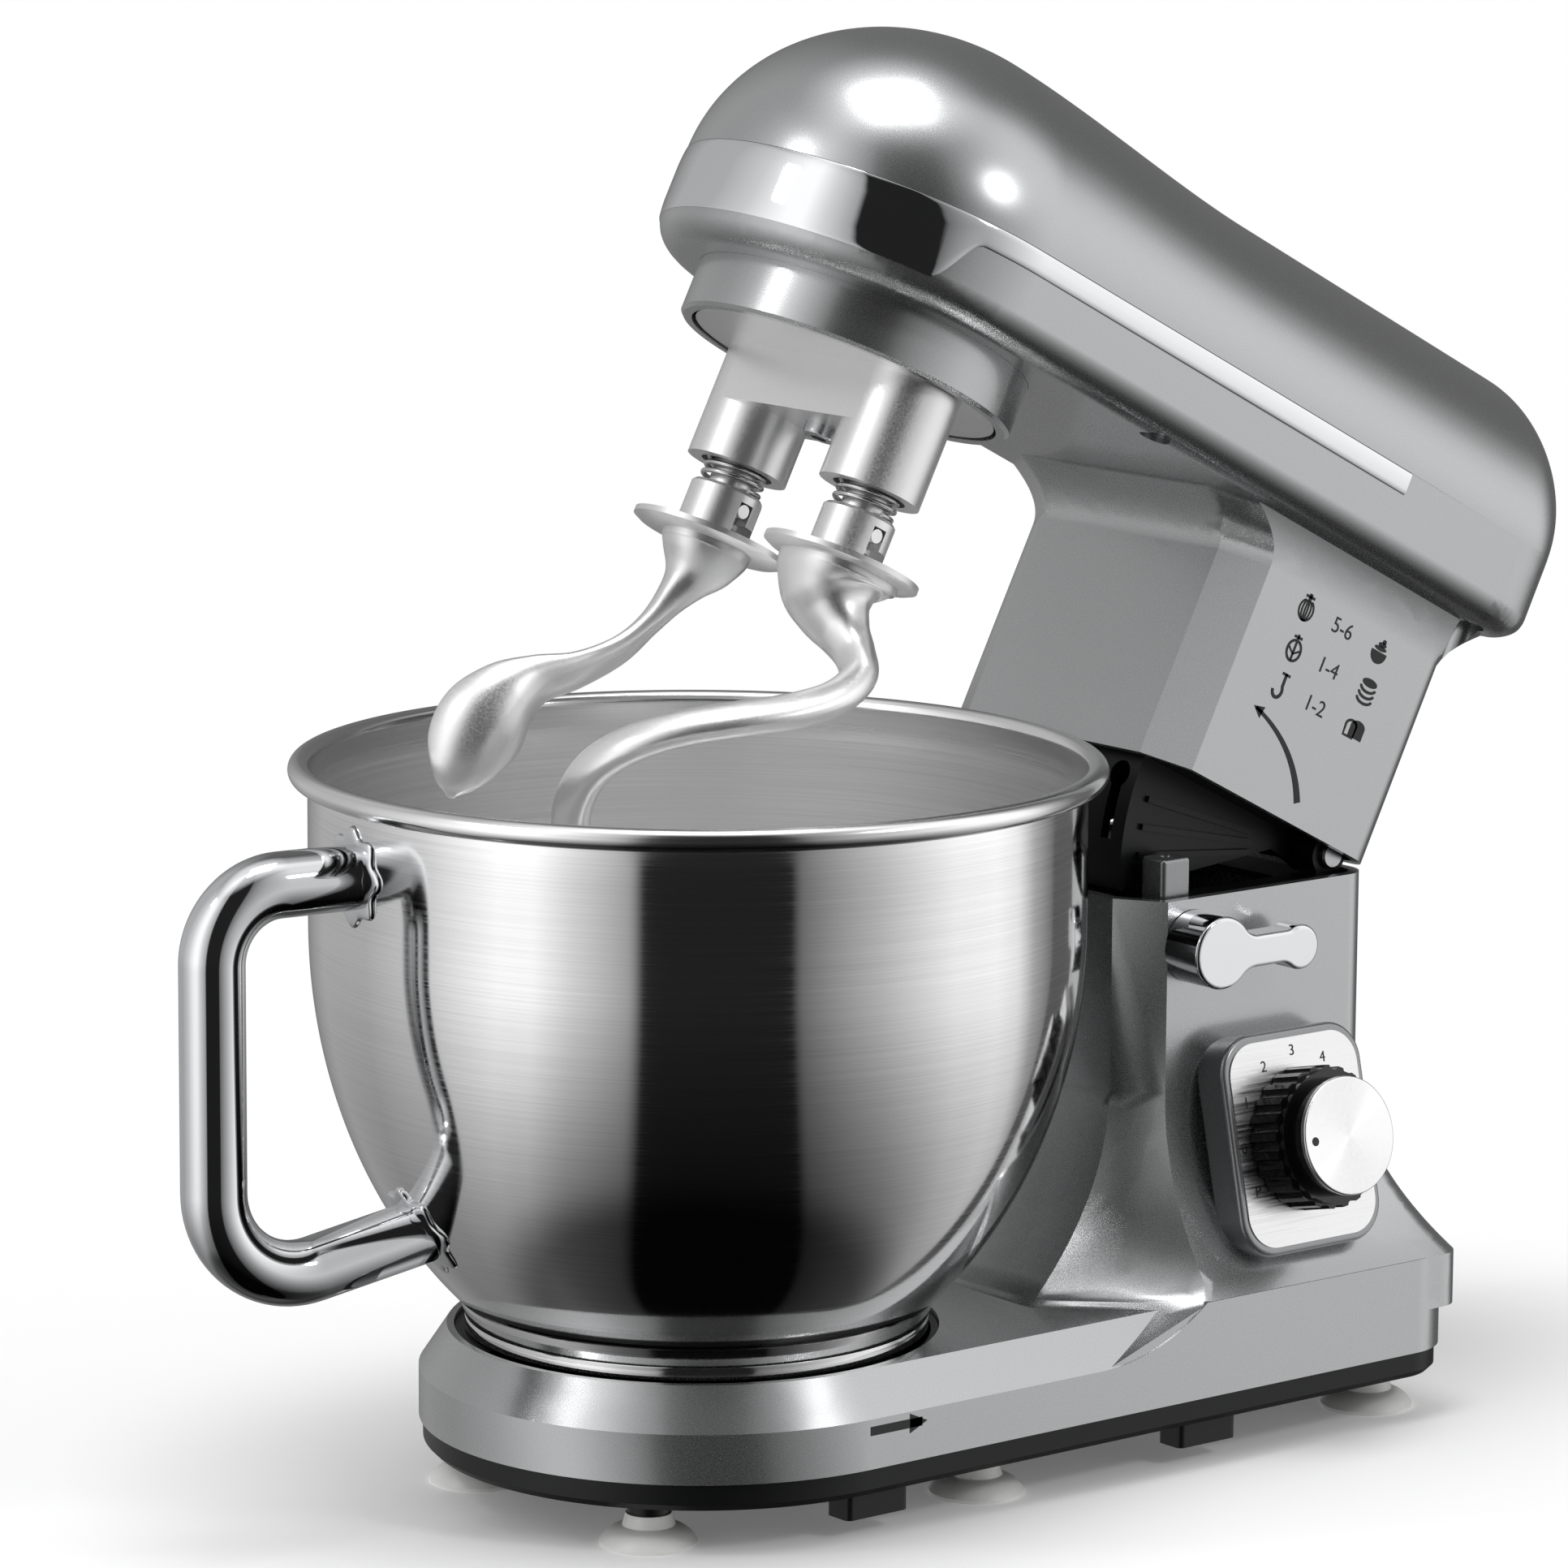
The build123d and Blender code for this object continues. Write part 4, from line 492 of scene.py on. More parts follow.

# %% [markdown]
# Outside, the bowl is polished over its brushing. Inside it stays matt, and the rim lies between.
# Two materials would meet in a hard line. So a number on each point says how matt it is, and the
# steel reads that number as an attribute.
# The same number also paints the inside whiter, as painted light.

# %% Matt inside of the bowl
RIM_MATT = 0.4
spread_out = coordinates(bowl.data) * MM
bowl_z = spread_out[:, 2]
within = np.hypot(spread_out[:, 0], spread_out[:, 1]) < bowl_radius(bowl_z) - BOWL_WALL / 2
matt = np.where(within & (bowl_z < RIM_Z), 1.0, 0.0)
matt[bowl_z > RIM_Z - RIM_R] = RIM_MATT
inside_mark = bowl.data.attributes.new("inside", "FLOAT", "POINT")
inside_mark.data.foreach_set("value", matt.astype(np.float32))
dress(bowl, "bowl_unit", "stainless", paints["stainless"], "bowl")
print("matt points", int((matt == 1).sum()), "of", len(matt))

# %% [markdown]
# ## Handle
# A bent tube: its centre line has rounded corners in an upright plane through the bowl's axis. A
# curve with a round bevel could make it, but its ends would be cut square. So a circle square to
# the line is carried along it, and each end is slid on until it meets the wall.

# %% Handle
HANDLE_TURN = math.radians(7)
HANDLE_R, HANDLE_REACH, HANDLE_BEND = 9.2, 154.28, 29.0
HANDLE_UPPER, HANDLE_LOWER, HANDLE_END = 188.0, 73.0, 85.0
STAND_OFF, WALL_SINK = 2.0, 0.4
BEND_STEPS, TUBE_SIDES = 24, 48
SLIDE_FROM, SLIDE_TO, HALVINGS = -25.0, 40.0, 40
side_way = np.array([math.cos(HANDLE_TURN), -math.sin(HANDLE_TURN), 0])


def handle_place(out_up):
    """Points (distance from the bowl's axis, height) in the handle's upright plane, to x, y, z."""
    out, up = out_up[..., 0], out_up[..., 1]
    return np.stack([-out * math.sin(HANDLE_TURN), -out * math.cos(HANDLE_TURN), up], -1)


def tube(path, radius, sides):
    """Circles square to a path (n, 3) in the handle's plane: centre + r (cos t, sin t) across it."""
    along = unit(np.gradient(path, axis=0))
    across = unit(np.cross(along, side_way))
    over = np.cross(across, along)
    angle = np.linspace(0, 2 * np.pi, sides, endpoint=False)[:, None]
    ring = across[:, None] * np.cos(angle) + over[:, None] * np.sin(angle)
    return path[:, None] + radius * ring


def meet_wall(points, direction, gap):
    """Slides points along a direction to where they stand gap outside the bowl's wall, by halving."""
    near, far = np.full(points.shape[:-1], SLIDE_FROM), np.full(points.shape[:-1], SLIDE_TO)
    for _ in range(HALVINGS):
        middle = (near + far) / 2
        trial = points + middle[..., None] * direction
        inside = np.hypot(trial[..., 0], trial[..., 1]) < bowl_radius(trial[..., 2]) + gap
        near, far = np.where(inside, near, middle), np.where(inside, middle, far)
    return points + ((near + far) / 2)[..., None] * direction


handle_corners = [
    (BOWL_R + STAND_OFF, HANDLE_UPPER),
    (HANDLE_REACH, HANDLE_UPPER),
    (HANDLE_REACH, HANDLE_LOWER),
    (bowl_radius(HANDLE_END) + STAND_OFF, HANDLE_END),
]
handle_line = rounded(handle_corners, HANDLE_BEND, BEND_STEPS)
handle_rings = tube(handle_place(handle_line), HANDLE_R, TUBE_SIDES)
upper_in = handle_place(np.array([-1.0, 0.0]))
lower_in = unit(handle_place(handle_line[-1] - handle_line[-2]))
handle_rings[0] = meet_wall(handle_rings[0], upper_in, -WALL_SINK)
handle_rings[-1] = meet_wall(handle_rings[-1], lower_in, -WALL_SINK)
handle = surface("bowl_handle_tube", at_rest(handle_rings), ring_columns=True)
dress(handle, "bowl_unit", "chrome", paints["chrome"], "bowl_handle")
print("handle rings", len(handle_rings))

# %% [markdown]
# Each end of the tube stands in a pressed bracket with scalloped edges, welded on the wall. A flat
# shape could be pressed on with a Shrinkwrap modifier, but its thickness would suffer. So it is
# made of rings round the tube's end, slid on to the wall, thick at the tube and thin at the edge,
# where eight lobes wave its radius.

# %% Handle brackets
BRACKET_R, LOBES, LOBE_HIGH = 13.2, 8, 1.2
EDGE_THICK, TUBE_THICK, COLLAR_HIGH, EDGE_SINK = 0.2, 1.2, 2.2, 0.3
BRACKET_RINGS, BRACKET_SIDES = 14, 96


def bracket(centre, direction):
    """Rings from the tube outwards, each slid on to the wall and lifted by the thickness there."""
    over = np.cross(direction, side_way)
    angle = np.linspace(0, 2 * np.pi, BRACKET_SIDES, endpoint=False)
    share = np.linspace(0, 1, BRACKET_RINGS)[:, None]
    edge = BRACKET_R + LOBE_HIGH * np.cos(LOBES * angle)
    reach = HANDLE_R + share * (edge - HANDLE_R)
    spokes = side_way * np.cos(angle)[:, None] + over * np.sin(angle)[:, None]
    rings = centre + reach[..., None] * spokes
    thick = EDGE_THICK + TUBE_THICK * np.sqrt(1 - share**4)
    top = meet_wall(rings, direction, thick)
    collar = top[:1] - COLLAR_HIGH * direction
    foot = meet_wall(rings[-1:], direction, -EDGE_SINK)
    return np.concatenate([collar, top, foot])


upper_bracket = bracket(handle_place(handle_line[0]), upper_in)
lower_bracket = bracket(handle_place(handle_line[-1]), lower_in)
one_bracket = grid_faces(*upper_bracket.shape[:2], ring_columns=True)
brackets = mesh_piece(
    "handle_bracket_pair",
    at_rest([upper_bracket, lower_bracket]),
    np.vstack([one_bracket, one_bracket + upper_bracket.size // 3]),
)
dress(brackets, "bowl_unit", "chrome", paints["chrome"], "handle_brackets")
print("bracket faces", len(brackets.data.polygons))

# %% [markdown]
# ## Head
# The upper shell is one moulding, drawn from a point at the tip of the nose to a point at the
# rear. A box could be subdivided and pulled to this form, but its reflections would wander. Here
# each cross-section is half an ellipse, and its half width and height are functions of y, so the
# light runs cleanly. A second surface 3.2 mm inside closes it to a wall.

# %% Head upper shell
SEAM = 274.4
NOSE_R, NOSE_HIGH, BODY_HALF, BODY_HIGH = 65.3, 57.6, 66.0, 52.3
DIP_Y, HEAD_REAR = 100.0, 238.6
PLAN_ROUND, PLAN_POWER = 31.5, 3.2
CROWN_ROUND, CROWN_POWER = 24.8, 1.9
OUTER_INSET, SHELL_WALL = 0.03, 3.2  # the first keeps the surface within the solids' box
NOSE_POINTS, BODY_POINTS, REAR_POINTS, ARCH_POINTS = 48, 48, 56, 97


def nose_share(y):
    """How much of the full size the round nose has at y: a quarter circle up to y = 0."""
    return np.sqrt(np.clip(1 - (np.minimum(y, 0) / NOSE_R) ** 2, 0, 1))


def rear_share(y, length, power):
    """How much is left of the full size towards the rear: (1 - t^p)^(1/p) over a length."""
    way = np.clip((y - HEAD_REAR + length) / length, 0, 1)
    return (1 - way**power) ** (1 / power)


def head_half(y):
    """Half width of the head: a circle before y = 0, straight, and a rounded rear end."""
    straight = NOSE_R + (BODY_HALF - NOSE_R) * np.clip(y / DIP_Y, 0, 1)
    rear = straight * rear_share(y, PLAN_ROUND, PLAN_POWER)
    return np.where(y < 0, NOSE_R * nose_share(y), rear)


def head_high(y):
    """Height of the crown above the seam: an ellipse at the nose, a slow dip, a rounded rear end."""
    ease = np.clip(y / DIP_Y, 0, 1)
    flat = NOSE_HIGH + (BODY_HIGH - NOSE_HIGH) * ease**2 * (3 - 2 * ease)
    rear = flat * rear_share(y, CROWN_ROUND, CROWN_POWER)
    return np.where(y < 0, NOSE_HIGH * nose_share(y), rear)


nose_y = -NOSE_R * np.cos(np.linspace(0, np.pi / 2, NOSE_POINTS))
body_y = np.linspace(0, HEAD_REAR - PLAN_ROUND, BODY_POINTS)[1:]
rear_turn = np.linspace(0, np.pi / 2, REAR_POINTS)[1:]
rear_y = HEAD_REAR - PLAN_ROUND + PLAN_ROUND * np.sin(rear_turn)
head_y = np.concatenate([nose_y, body_y, rear_y])
arch = np.linspace(0, np.pi, ARCH_POINTS)


def head_arch(inset):
    """The half ellipses along the head, drawn in by an inset on every side."""
    rear = head_y - inset * np.clip(head_y / HEAD_REAR, 0, 1)
    y = np.where(head_y > 0, rear, head_y * (1 - inset / NOSE_R))
    half = np.clip(head_half(head_y) - inset, 0, None)[:, None]
    high = np.clip(head_high(head_y) - inset, 0, None)[:, None]
    x = half * np.cos(arch)
    return np.stack([x, np.broadcast_to(y[:, None], x.shape), SEAM + high * np.sin(arch)], -1)


head_grid = np.concatenate([head_arch(OUTER_INSET), head_arch(SHELL_WALL)[:, ::-1]], 1)
head_top = surface("head_upper_shell", raised(head_grid), ring_columns=True)
dress(head_top, "head", "silver_paint", paints["silver_paint"], "head_top_shell")
print("head faces", len(head_top.data.polygons))

# %% [markdown]
# The bright band is a pressed strip: tall round the nose, stepping up in an S to a narrow strip
# along each side. It could be cut out of the shell, but would have raw edges that catch no light.
# So its section, with softly rounded edges, is carried along the head's plan at the seam, and its
# lower edge follows the S.

# %% Bright band
BAND_LOW, STRIP_LOW, STRIP_END = 253.6, 267.5, 158.0
STEP_LOW_Y, STEP_HIGH_Y = -31.0, -20.0
BAND_PROUD, BAND_BACK, BAND_MOST, SEAM_GAP = 0.3, 1.6, 0.6, 0.15
EDGE_ROUND, CRISP, EDGE_STEPS = 0.25, 0.0001, 5
BULGE, BULGE_TALL, BULGE_LEAST, FACE_FROM = 0.35, 20, 0.2, -0.2
SIDE_POINTS, TURN_POINTS = 120, 161

nose_turn = np.linspace(0, np.pi, TURN_POINTS)
side_y = np.linspace(STRIP_END, 0, SIDE_POINTS)[:-1]
band_y = np.concatenate([side_y, -NOSE_R * np.sin(nose_turn), side_y[::-1]])
band_x = np.concatenate([head_half(side_y), NOSE_R * np.cos(nose_turn), -head_half(side_y[::-1])])
out_x = np.concatenate([np.ones(len(side_y)), np.cos(nose_turn), -np.ones(len(side_y))])[:, None]
out_y = np.concatenate([0 * side_y, -np.sin(nose_turn), 0 * side_y])[:, None]
step = np.clip((band_y - STEP_LOW_Y) / (STEP_HIGH_Y - STEP_LOW_Y), 0, 1)
band_foot = BAND_LOW + (STRIP_LOW - BAND_LOW) * step**2 * (3 - 2 * step)
tall = (SEAM - SEAM_GAP - band_foot)[:, None]
section_corners = [
    (-BAND_BACK, 0.5), (-BAND_BACK, 0.0), (BAND_PROUD, 0.0),
    (BAND_PROUD, 1.0), (-BAND_BACK, 1.0), (-BAND_BACK, 0.5),
]
section = rounded(section_corners, [CRISP, EDGE_ROUND, EDGE_ROUND, CRISP], EDGE_STEPS)
offset, share = section[:, 0], np.clip(section[:, 1], 0, 1)
bulge = BULGE * np.sin(np.pi * share) * np.clip(tall / BULGE_TALL, BULGE_LEAST, 1)
reach = np.minimum(offset + np.where(offset > FACE_FROM, bulge, 0), BAND_MOST)
band_grid = np.stack(
    [band_x[:, None] + out_x * reach, band_y[:, None] + out_y * reach, band_foot[:, None] + tall * share],
    -1,
)
band = surface("bright_band", raised(band_grid), ring_columns=True)
dress(band, "head", "chrome", paints["chrome"], "chrome_band")
print("band rows", len(band_y))

# %% [markdown]
# ## Pieces that keep their solid shape
# These castings, mouldings and turned pieces were measured well enough in the solids, so drawing
# them again would gain nothing. Their smooth copies stand for them.

# %% Smooth copies
kept_shape = [
    "base_housing", "base_plate", "bowl_seat", "bowl_foot_ring", "column_cap", "neck_insert",
    "interlock_plunger", "dial_bezel", "dial_plate", "release_lever", "head_lower_shell",
    "hub_collar", "planet_carrier", "hub_screw", "spindle_a", "spindle_b", "suction_feet",
    "speed_knob", "cord_gland", "hinge_pin", "shell_screws", "base_screws",
]
repainted = {"hub_collar": "silver_paint", "interlock_plunger": "silver_trim"}
for name in kept_shape:
    slot = repainted.get(name, slot_of[name])
    dress(smooth_copy(name), body_of[name], slot, paints[slot], name)
dress(smooth_copy("knob_cap"), "knob", "dial_aluminium", spun_aluminium, "knob_cap")
print("smooth copies", len(kept_shape) + 1)

# %% [markdown]
# ## Kneading hooks
# A hook is one piece of metal: a collet with a bayonet slot, a splash flange, a bell under it, and
# a bar that leaves the bell sideways and twists. It could be sculpted, but then its thickness
# would waver. So a row of stations gives the bar's centre line and section, as a pattern maker
# would measure them off the real one.

# %% Stations of the hooks
# Each row: aside, outwards and down from the flange, half width, half thickness, turn, cupping
SPIRAL = np.array([
    (0, 0, 0, 16.6, 16.6, 30, 0), (0, 0, 1.2, 16.5, 16.5, 30, 0), (0, 0, 2.5, 16.2, 16.2, 30, 0),
    (0.6, -0.8, 7.5, 14.0, 13.6, 30, 0), (2.6, -3.4, 12.5, 10.8, 9.8, 30, 0),
    (6.5, -7.4, 17.5, 7.8, 6.6, 30, 0), (12, -11.2, 22.5, 6.2, 4.9, 30, 0),
    (20, -12.9, 29, 5.9, 4.2, 30, 0), (28, -8, 37.9, 5.9, 4.1, 35, 0), (33, 2, 46.3, 5.9, 4.0, 40, 0),
    (35, 15.5, 54.5, 6.0, 4.0, 40, 0), (33, 29.5, 63, 6.0, 4.0, 40, 0), (28, 40.3, 71.8, 6.0, 4.1, 40, 0),
    (20, 46.4, 81.1, 6.0, 4.1, 40, 0), (10, 46.5, 91, 5.9, 4.1, 40, 0), (0, 41, 100.5, 5.7, 4.1, 40, 0),
    (-7, 32, 109, 5.6, 4.1, 40, 0), (-11, 19, 115, 5.5, 4.0, 40, 0), (-12, 4, 117, 5.4, 4.0, 40, 0),
    (-10, -10, 114.5, 5.3, 3.9, 40, 0), (-6, -22, 107.5, 5.2, 3.8, 40, 0), (-3, -28, 101, 5.0, 3.6, 40, 0),
])
SPOON = np.array([
    (0, 0, 0, 13.3, 13.3, 0, 0), (0, 0, 1.2, 13.2, 13.2, 0, 0), (0, 0, 2.5, 12.9, 12.9, 0, 0),
    (0.2, 0.5, 7.5, 10.8, 10.4, 0, 0), (0.7, 1.7, 12.5, 7.8, 7.0, 0, 0), (1.8, 4.0, 19, 5.8, 4.8, -4, 0),
    (3.4, 7.4, 28, 5.2, 3.4, -12, 0), (6, 13, 39, 5.2, 2.9, -35, 0.2), (10, 23, 50, 5.8, 2.5, -60, 0.6),
    (12, 32.5, 57, 7.4, 2.3, -78, 1.4), (13.5, 38.5, 64, 10.4, 2.1, -90, 2.6),
    (14, 42, 72, 13.0, 2.0, -95, 3.4), (14, 43.5, 80, 12.8, 1.9, -97, 3.2),
    (14, 43.8, 88, 9.8, 1.8, -98, 2.0), (13.5, 43.5, 94, 5.4, 1.5, -98, 0.8),
    (13, 43.2, 96.5, 1.8, 1.0, -98, 0),
])
print("stations", len(SPIRAL), len(SPOON))

# %% [markdown]
# A curve with a bevel object could carry one section along, but here the section changes all the
# way. So a smooth curve runs through all the stations, and rings follow it. The section is an
# ellipse with fuller corners, wide and thin, turned about the curve and bent to a cup where the
# spoon is. The last rings shrink to a point, which rounds the tip.

# %% Sweep along the stations
SECTION_POWER, CUP_BEND = 2.4, 1.6
BAR_RINGS, BAR_SIDES, TIP_RINGS = 200, 48, 6


def through(rows, count):
    """A smooth curve through rows of values: cubic pieces whose slopes come from the neighbours."""
    gaps = np.linalg.norm(np.diff(rows[:, :3], axis=0), axis=1) ** 0.5
    knots = np.concatenate([[0], np.cumsum(gaps)])
    slopes = np.gradient(rows, knots, axis=0)
    place = np.linspace(0, knots[-1], count)
    piece = np.clip(np.searchsorted(knots, place, "right") - 1, 0, len(rows) - 2)
    width = gaps[piece][:, None]
    t = (place - knots[piece])[:, None] / width
    values = (1 + 2 * t) * (1 - t) ** 2 * rows[piece] + t**2 * (3 - 2 * t) * rows[piece + 1]
    return values + t * (1 - t) * width * ((1 - t) * slopes[piece] - t * slopes[piece + 1])


def bar_rings(stations):
    """Rings along the stations' curve: |x/w|^p + |y/t|^p = 1, cupped, turned and square to it."""
    rows = through(stations, BAR_RINGS)
    centre = rows[:, :3] * (1, -1, -1)
    along = unit(np.gradient(centre, axis=0))
    across = unit(np.array([1.0, 0, 0]) - along * along[:, :1])
    other = np.cross(across, along)
    turn = np.linspace(0, 2 * np.pi, BAR_SIDES, endpoint=False)
    cos, sin = np.cos(turn), np.sin(turn)
    corner = 2 / SECTION_POWER
    wide = np.sign(cos) * np.abs(cos) ** corner * rows[:, 3:4]
    thick = np.sign(sin) * np.abs(sin) ** corner * rows[:, 4:5] + rows[:, 6:7] * (1 - CUP_BEND * cos**2)
    twist = np.radians(rows[:, 5:6])
    sideways = wide * np.cos(twist) - thick * np.sin(twist)
    upwards = wide * np.sin(twist) + thick * np.cos(twist)
    rings = centre[:, None] + sideways[..., None] * across[:, None] + upwards[..., None] * other[:, None]
    way = np.linspace(0, 1, TIP_RINGS + 1)[1:, None, None]
    tip = centre[-1] + (rings[-1] - centre[-1]) * np.sqrt(1 - way**2) + way * rows[-1, 4] * along[-1]
    first = np.repeat(centre[:1, None], BAR_SIDES, 1)
    return np.concatenate([first, rings, tip])


print("rings of a bar", len(bar_rings(SPOON)))

# %% [markdown]
# The collet with its slot and the flange keep their solid shape, cut off just above the flange's
# underside. A Boolean modifier could join the bell and bar to it, but would leave slivers. Two
# closed shells that lie a hair apart look the same, and each hook is again one piece.

# %% Hooks
ORBIT_R, FLANGE_LOW, FLANGE_CUT = 30.0, 174.9, 0.02
HOOK_TURN = math.radians(-30)


def hook(node, side, stations):
    """A hook from its solid's collet and flange and a swept bar, both closed, as one piece."""
    work = bmesh.new()
    work.from_mesh(nodes[node].data)
    bmesh.ops.remove_doubles(work, verts=work.verts, dist=MERGE)
    level = raised([side * ORBIT_R, 0, FLANGE_LOW + FLANGE_CUT])
    upwards = raised([0, 0, MM]) - raised([0, 0, 0])
    everything = [*work.verts, *work.edges, *work.faces]
    bmesh.ops.bisect_plane(
        work, geom=everything, dist=SLIVER, plane_co=level, plane_no=upwards, clear_inner=True
    )
    bmesh.ops.holes_fill(work, edges=[edge for edge in work.edges if edge.is_boundary])
    work.verts.index_update()
    points = [tuple(vertex.co) for vertex in work.verts]
    faces = [[vertex.index for vertex in face.verts] for face in work.faces]
    work.free()
    rings = bar_rings(stations)
    cos, sin = math.cos(HOOK_TURN), math.sin(HOOK_TURN)
    x, y, z = rings[..., 0], rings[..., 1], rings[..., 2]
    placed = np.stack([side * ORBIT_R + x * cos - y * sin, x * sin + y * cos, FLANGE_LOW + z], -1)
    bar_faces = grid_faces(*rings.shape[:2], ring_columns=True) + len(points)
    all_points = np.vstack([points, raised(placed).reshape(-1, 3)])
    piece = mesh_piece(node + "_forged", all_points, faces + bar_faces.tolist())
    return dress(piece, body_of[node], slot_of[node], paints["satin_casting"], node)


for node, side, stations in (("spiral_hook", 1, SPIRAL), ("spoon_hook", -1, SPOON)):
    piece = hook(node, side, stations)
    print(piece.name, len(piece.data.polygons), "faces")

# %% [markdown]
# A coil spring round each spindle pushes its hook down. When a hook is pressed up to turn it in
# its slot, the real coil shortens. Moved as a whole, it would run into the leg. Here each coil is
# a smooth copy of its solid with its finish, fixed in place, and the solid is hidden.

# %% Springs
springs = []
for letter, side in (("a", 1), ("b", -1)):
    node = f"hook_spring_{letter}"
    spring = smooth_copy(node)
    spring.modifiers.clear()
    spring.data.materials.append(paints[slot_of[node]])
    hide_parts(node)
    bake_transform(spring)
    springs.append(spring.name)
print("springs", springs)

# %% [markdown]
# ## Printed marks
# Screen-printed marks are flat and sharp. A picture on the surface could carry them, but it would
# blur close up. So strokes are ribbons along a line, filled shapes are outlines, and an arrow is
# one of each, all drawn on a plane in millimetres, as a real print starts as a flat drawing too.

# %% Strokes and shapes
BARB_SHARE, BARB_LAP = 0.45, 0.2


def stroke(points, width):
    """A ribbon along a line of points (n, 2): each is set off to both sides, square to the line."""
    points = np.asarray(points, float)
    along = unit(np.gradient(points, axis=0))
    side = np.stack([along[:, 1], -along[:, 0]], -1) * np.reshape(width, (-1, 1)) / 2
    ribbon = np.stack([points + side, points - side], 1)
    return ribbon.reshape(-1, 2), grid_faces(len(points), 2).tolist()


def filled(outline):
    """A filled shape inside a line of points that runs to the left."""
    return np.asarray(outline, float), [tuple(range(len(outline)))]


def oval(centre, wide, tall, first=0, last=360, steps=40):
    """Points on an ellipse from one angle to another, in degrees."""
    turn = np.radians(np.linspace(first, last, steps))
    return np.stack([centre[0] + wide * np.cos(turn), centre[1] + tall * np.sin(turn)], -1)


def arrow(line, width, head):
    """A stroke with a three-cornered head at its last point."""
    way = unit(line[-1] - line[-2])
    side = np.array([way[1], -way[0]]) * head * BARB_SHARE
    barb = line[-1] - way * head
    shaft = np.vstack([line[:-1], barb + way * BARB_LAP])
    return [stroke(shaft, width), filled([barb + side, line[-1], barb - side])]


print("points of a dot", len(oval((0, 0), 1, 1)))

# %% [markdown]
# Figures come from the built-in typeface, turned into flat faces. One function then lays a whole
# drawing on the real surface, a hair above it, so that the ink never sinks into the paint.

# %% Figures and printing
INK_LIFT = 0.08
# Screen ink: flat black, a little worn, with hardly any gloss.
ink = grain("black screen ink", "#17181a", 0.0, 0.5, 0.4, 0.002, 0.05, 0.2)


def figures(text, size, centre):
    """Figures of the built-in typeface as flat faces about a centre."""
    curve = bpy.data.curves.new("figures", "FONT")
    curve.body, curve.size, curve.align_x, curve.align_y = text, size, "CENTER", "CENTER"
    holder = bpy.data.objects.new("figures", curve)
    mesh = holder.to_mesh()
    points = coordinates(mesh)[:, :2] + np.asarray(centre)
    faces = [tuple(face.vertices) for face in mesh.polygons]
    holder.to_mesh_clear()
    bpy.data.objects.remove(holder)
    bpy.data.curves.remove(curve)
    return points, faces


def printed(name, shapes, lay, body):
    """All the flat shapes as one piece, laid on a surface by a function of the plane's points."""
    points, faces, count = [], [], 0
    for outline, its_faces in shapes:
        faces += [[index + count for index in face] for face in its_faces]
        points.append(outline)
        count += len(outline)
    mesh = bpy.data.meshes.new(name)
    mesh.from_pydata(lay(np.vstack(points)).tolist(), [], faces)
    print(name, len(faces), "faces")
    return dress(link(name, mesh), body, "knob_black", ink)


print("nodes in the ink", len(ink.node_tree.nodes))

# %% [markdown]
# The neck carries three rows: a tool, its speeds and what it makes. The small pictures are drawn
# here from ovals and strokes, each about a middle (y, z) so that it can be moved as a whole.

# %% Pictures for the neck
LINE_W = 0.85
THIN_W = LINE_W * 0.8


def whisk(y, z):
    """Three nested wire loops under a short grip."""
    loops = [stroke(oval((y, z - 0.6), wide, 3.2, 118, 422), THIN_W) for wide in (2.9, 1.7, 0.5)]
    grip = stroke([(y, z + 2.0), (y, z + 4.4)], 1.3)
    return [*loops, grip, stroke([(y - 1.9, z + 3.4), (y + 1.9, z + 3.4)], LINE_W)]


def beater(y, z):
    """A leaf-shaped frame with a stem and one rib."""
    leaf = stroke(oval((y, z - 0.8), 2.8, 3.1, 100, 440), LINE_W)
    stem = stroke([(y, z - 3.8), (y, z + 4.2)], LINE_W)
    rib = stroke([(y - 2.4, z - 0.2), (y, z - 1.8), (y + 2.4, z - 0.2)], THIN_W)
    return [leaf, stem, rib, stroke([(y - 1.7, z + 3.3), (y + 1.7, z + 3.3)], LINE_W)]


def dough_hook(y, z):
    """A stem that bends to an open hook."""
    bend = np.vstack([[(y + 0.4, z + 4.0)], oval((y - 1.0, z - 1.6), 1.9, 2.2, 40, -175)])
    return [stroke(bend, 1.1), stroke([(y - 1.3, z + 3.6), (y + 2.1, z + 3.6)], LINE_W)]


def cream_cup(y, z):
    """A round cup heaped with cream."""
    brim = [(y + 3.3, z + 0.1), (y - 3.3, z + 0.1)]
    cup = filled(np.vstack([oval((y, z - 0.4), 3.3, 3.2, 180, 360), brim]))
    heap = ((0, 1.1, 2.6), (0.3, 2.3, 1.7), (0.7, 3.3, 0.8))
    return [cup, *(filled(oval((y + dy, z + dz), wide, 0.75)) for dy, dz, wide in heap)]


def layer_stack(y, z):
    """Three thin layers, one above the other."""
    top = filled(oval((y, z + 2.2), 3.2, 1.3))
    edges = [stroke(oval((y, z + lift), 3.2, 1.6, 185, 355), 0.9) for lift in (1.0, -0.8, -2.6)]
    return [top, *edges]


def loaf(y, z):
    """A loaf with a cut face."""
    base = [(y - 1.8, z - 2.6), (y + 4.2, z - 2.6)]
    crust = filled(np.vstack([oval((y + 1.2, z + 1.0), 3.0, 1.9, 0, 180), base]))
    cut = [(y - 3.6, z - 2.8), (y + 0.4, z - 2.8), (y + 0.6, z + 0.4)]
    face = np.vstack([oval((y - 1.6, z + 0.4), 2.2, 1.7, 0, 180), cut])
    return [crust, stroke(face, LINE_W)]


print("strokes of a whisk", len(whisk(0, 0)))

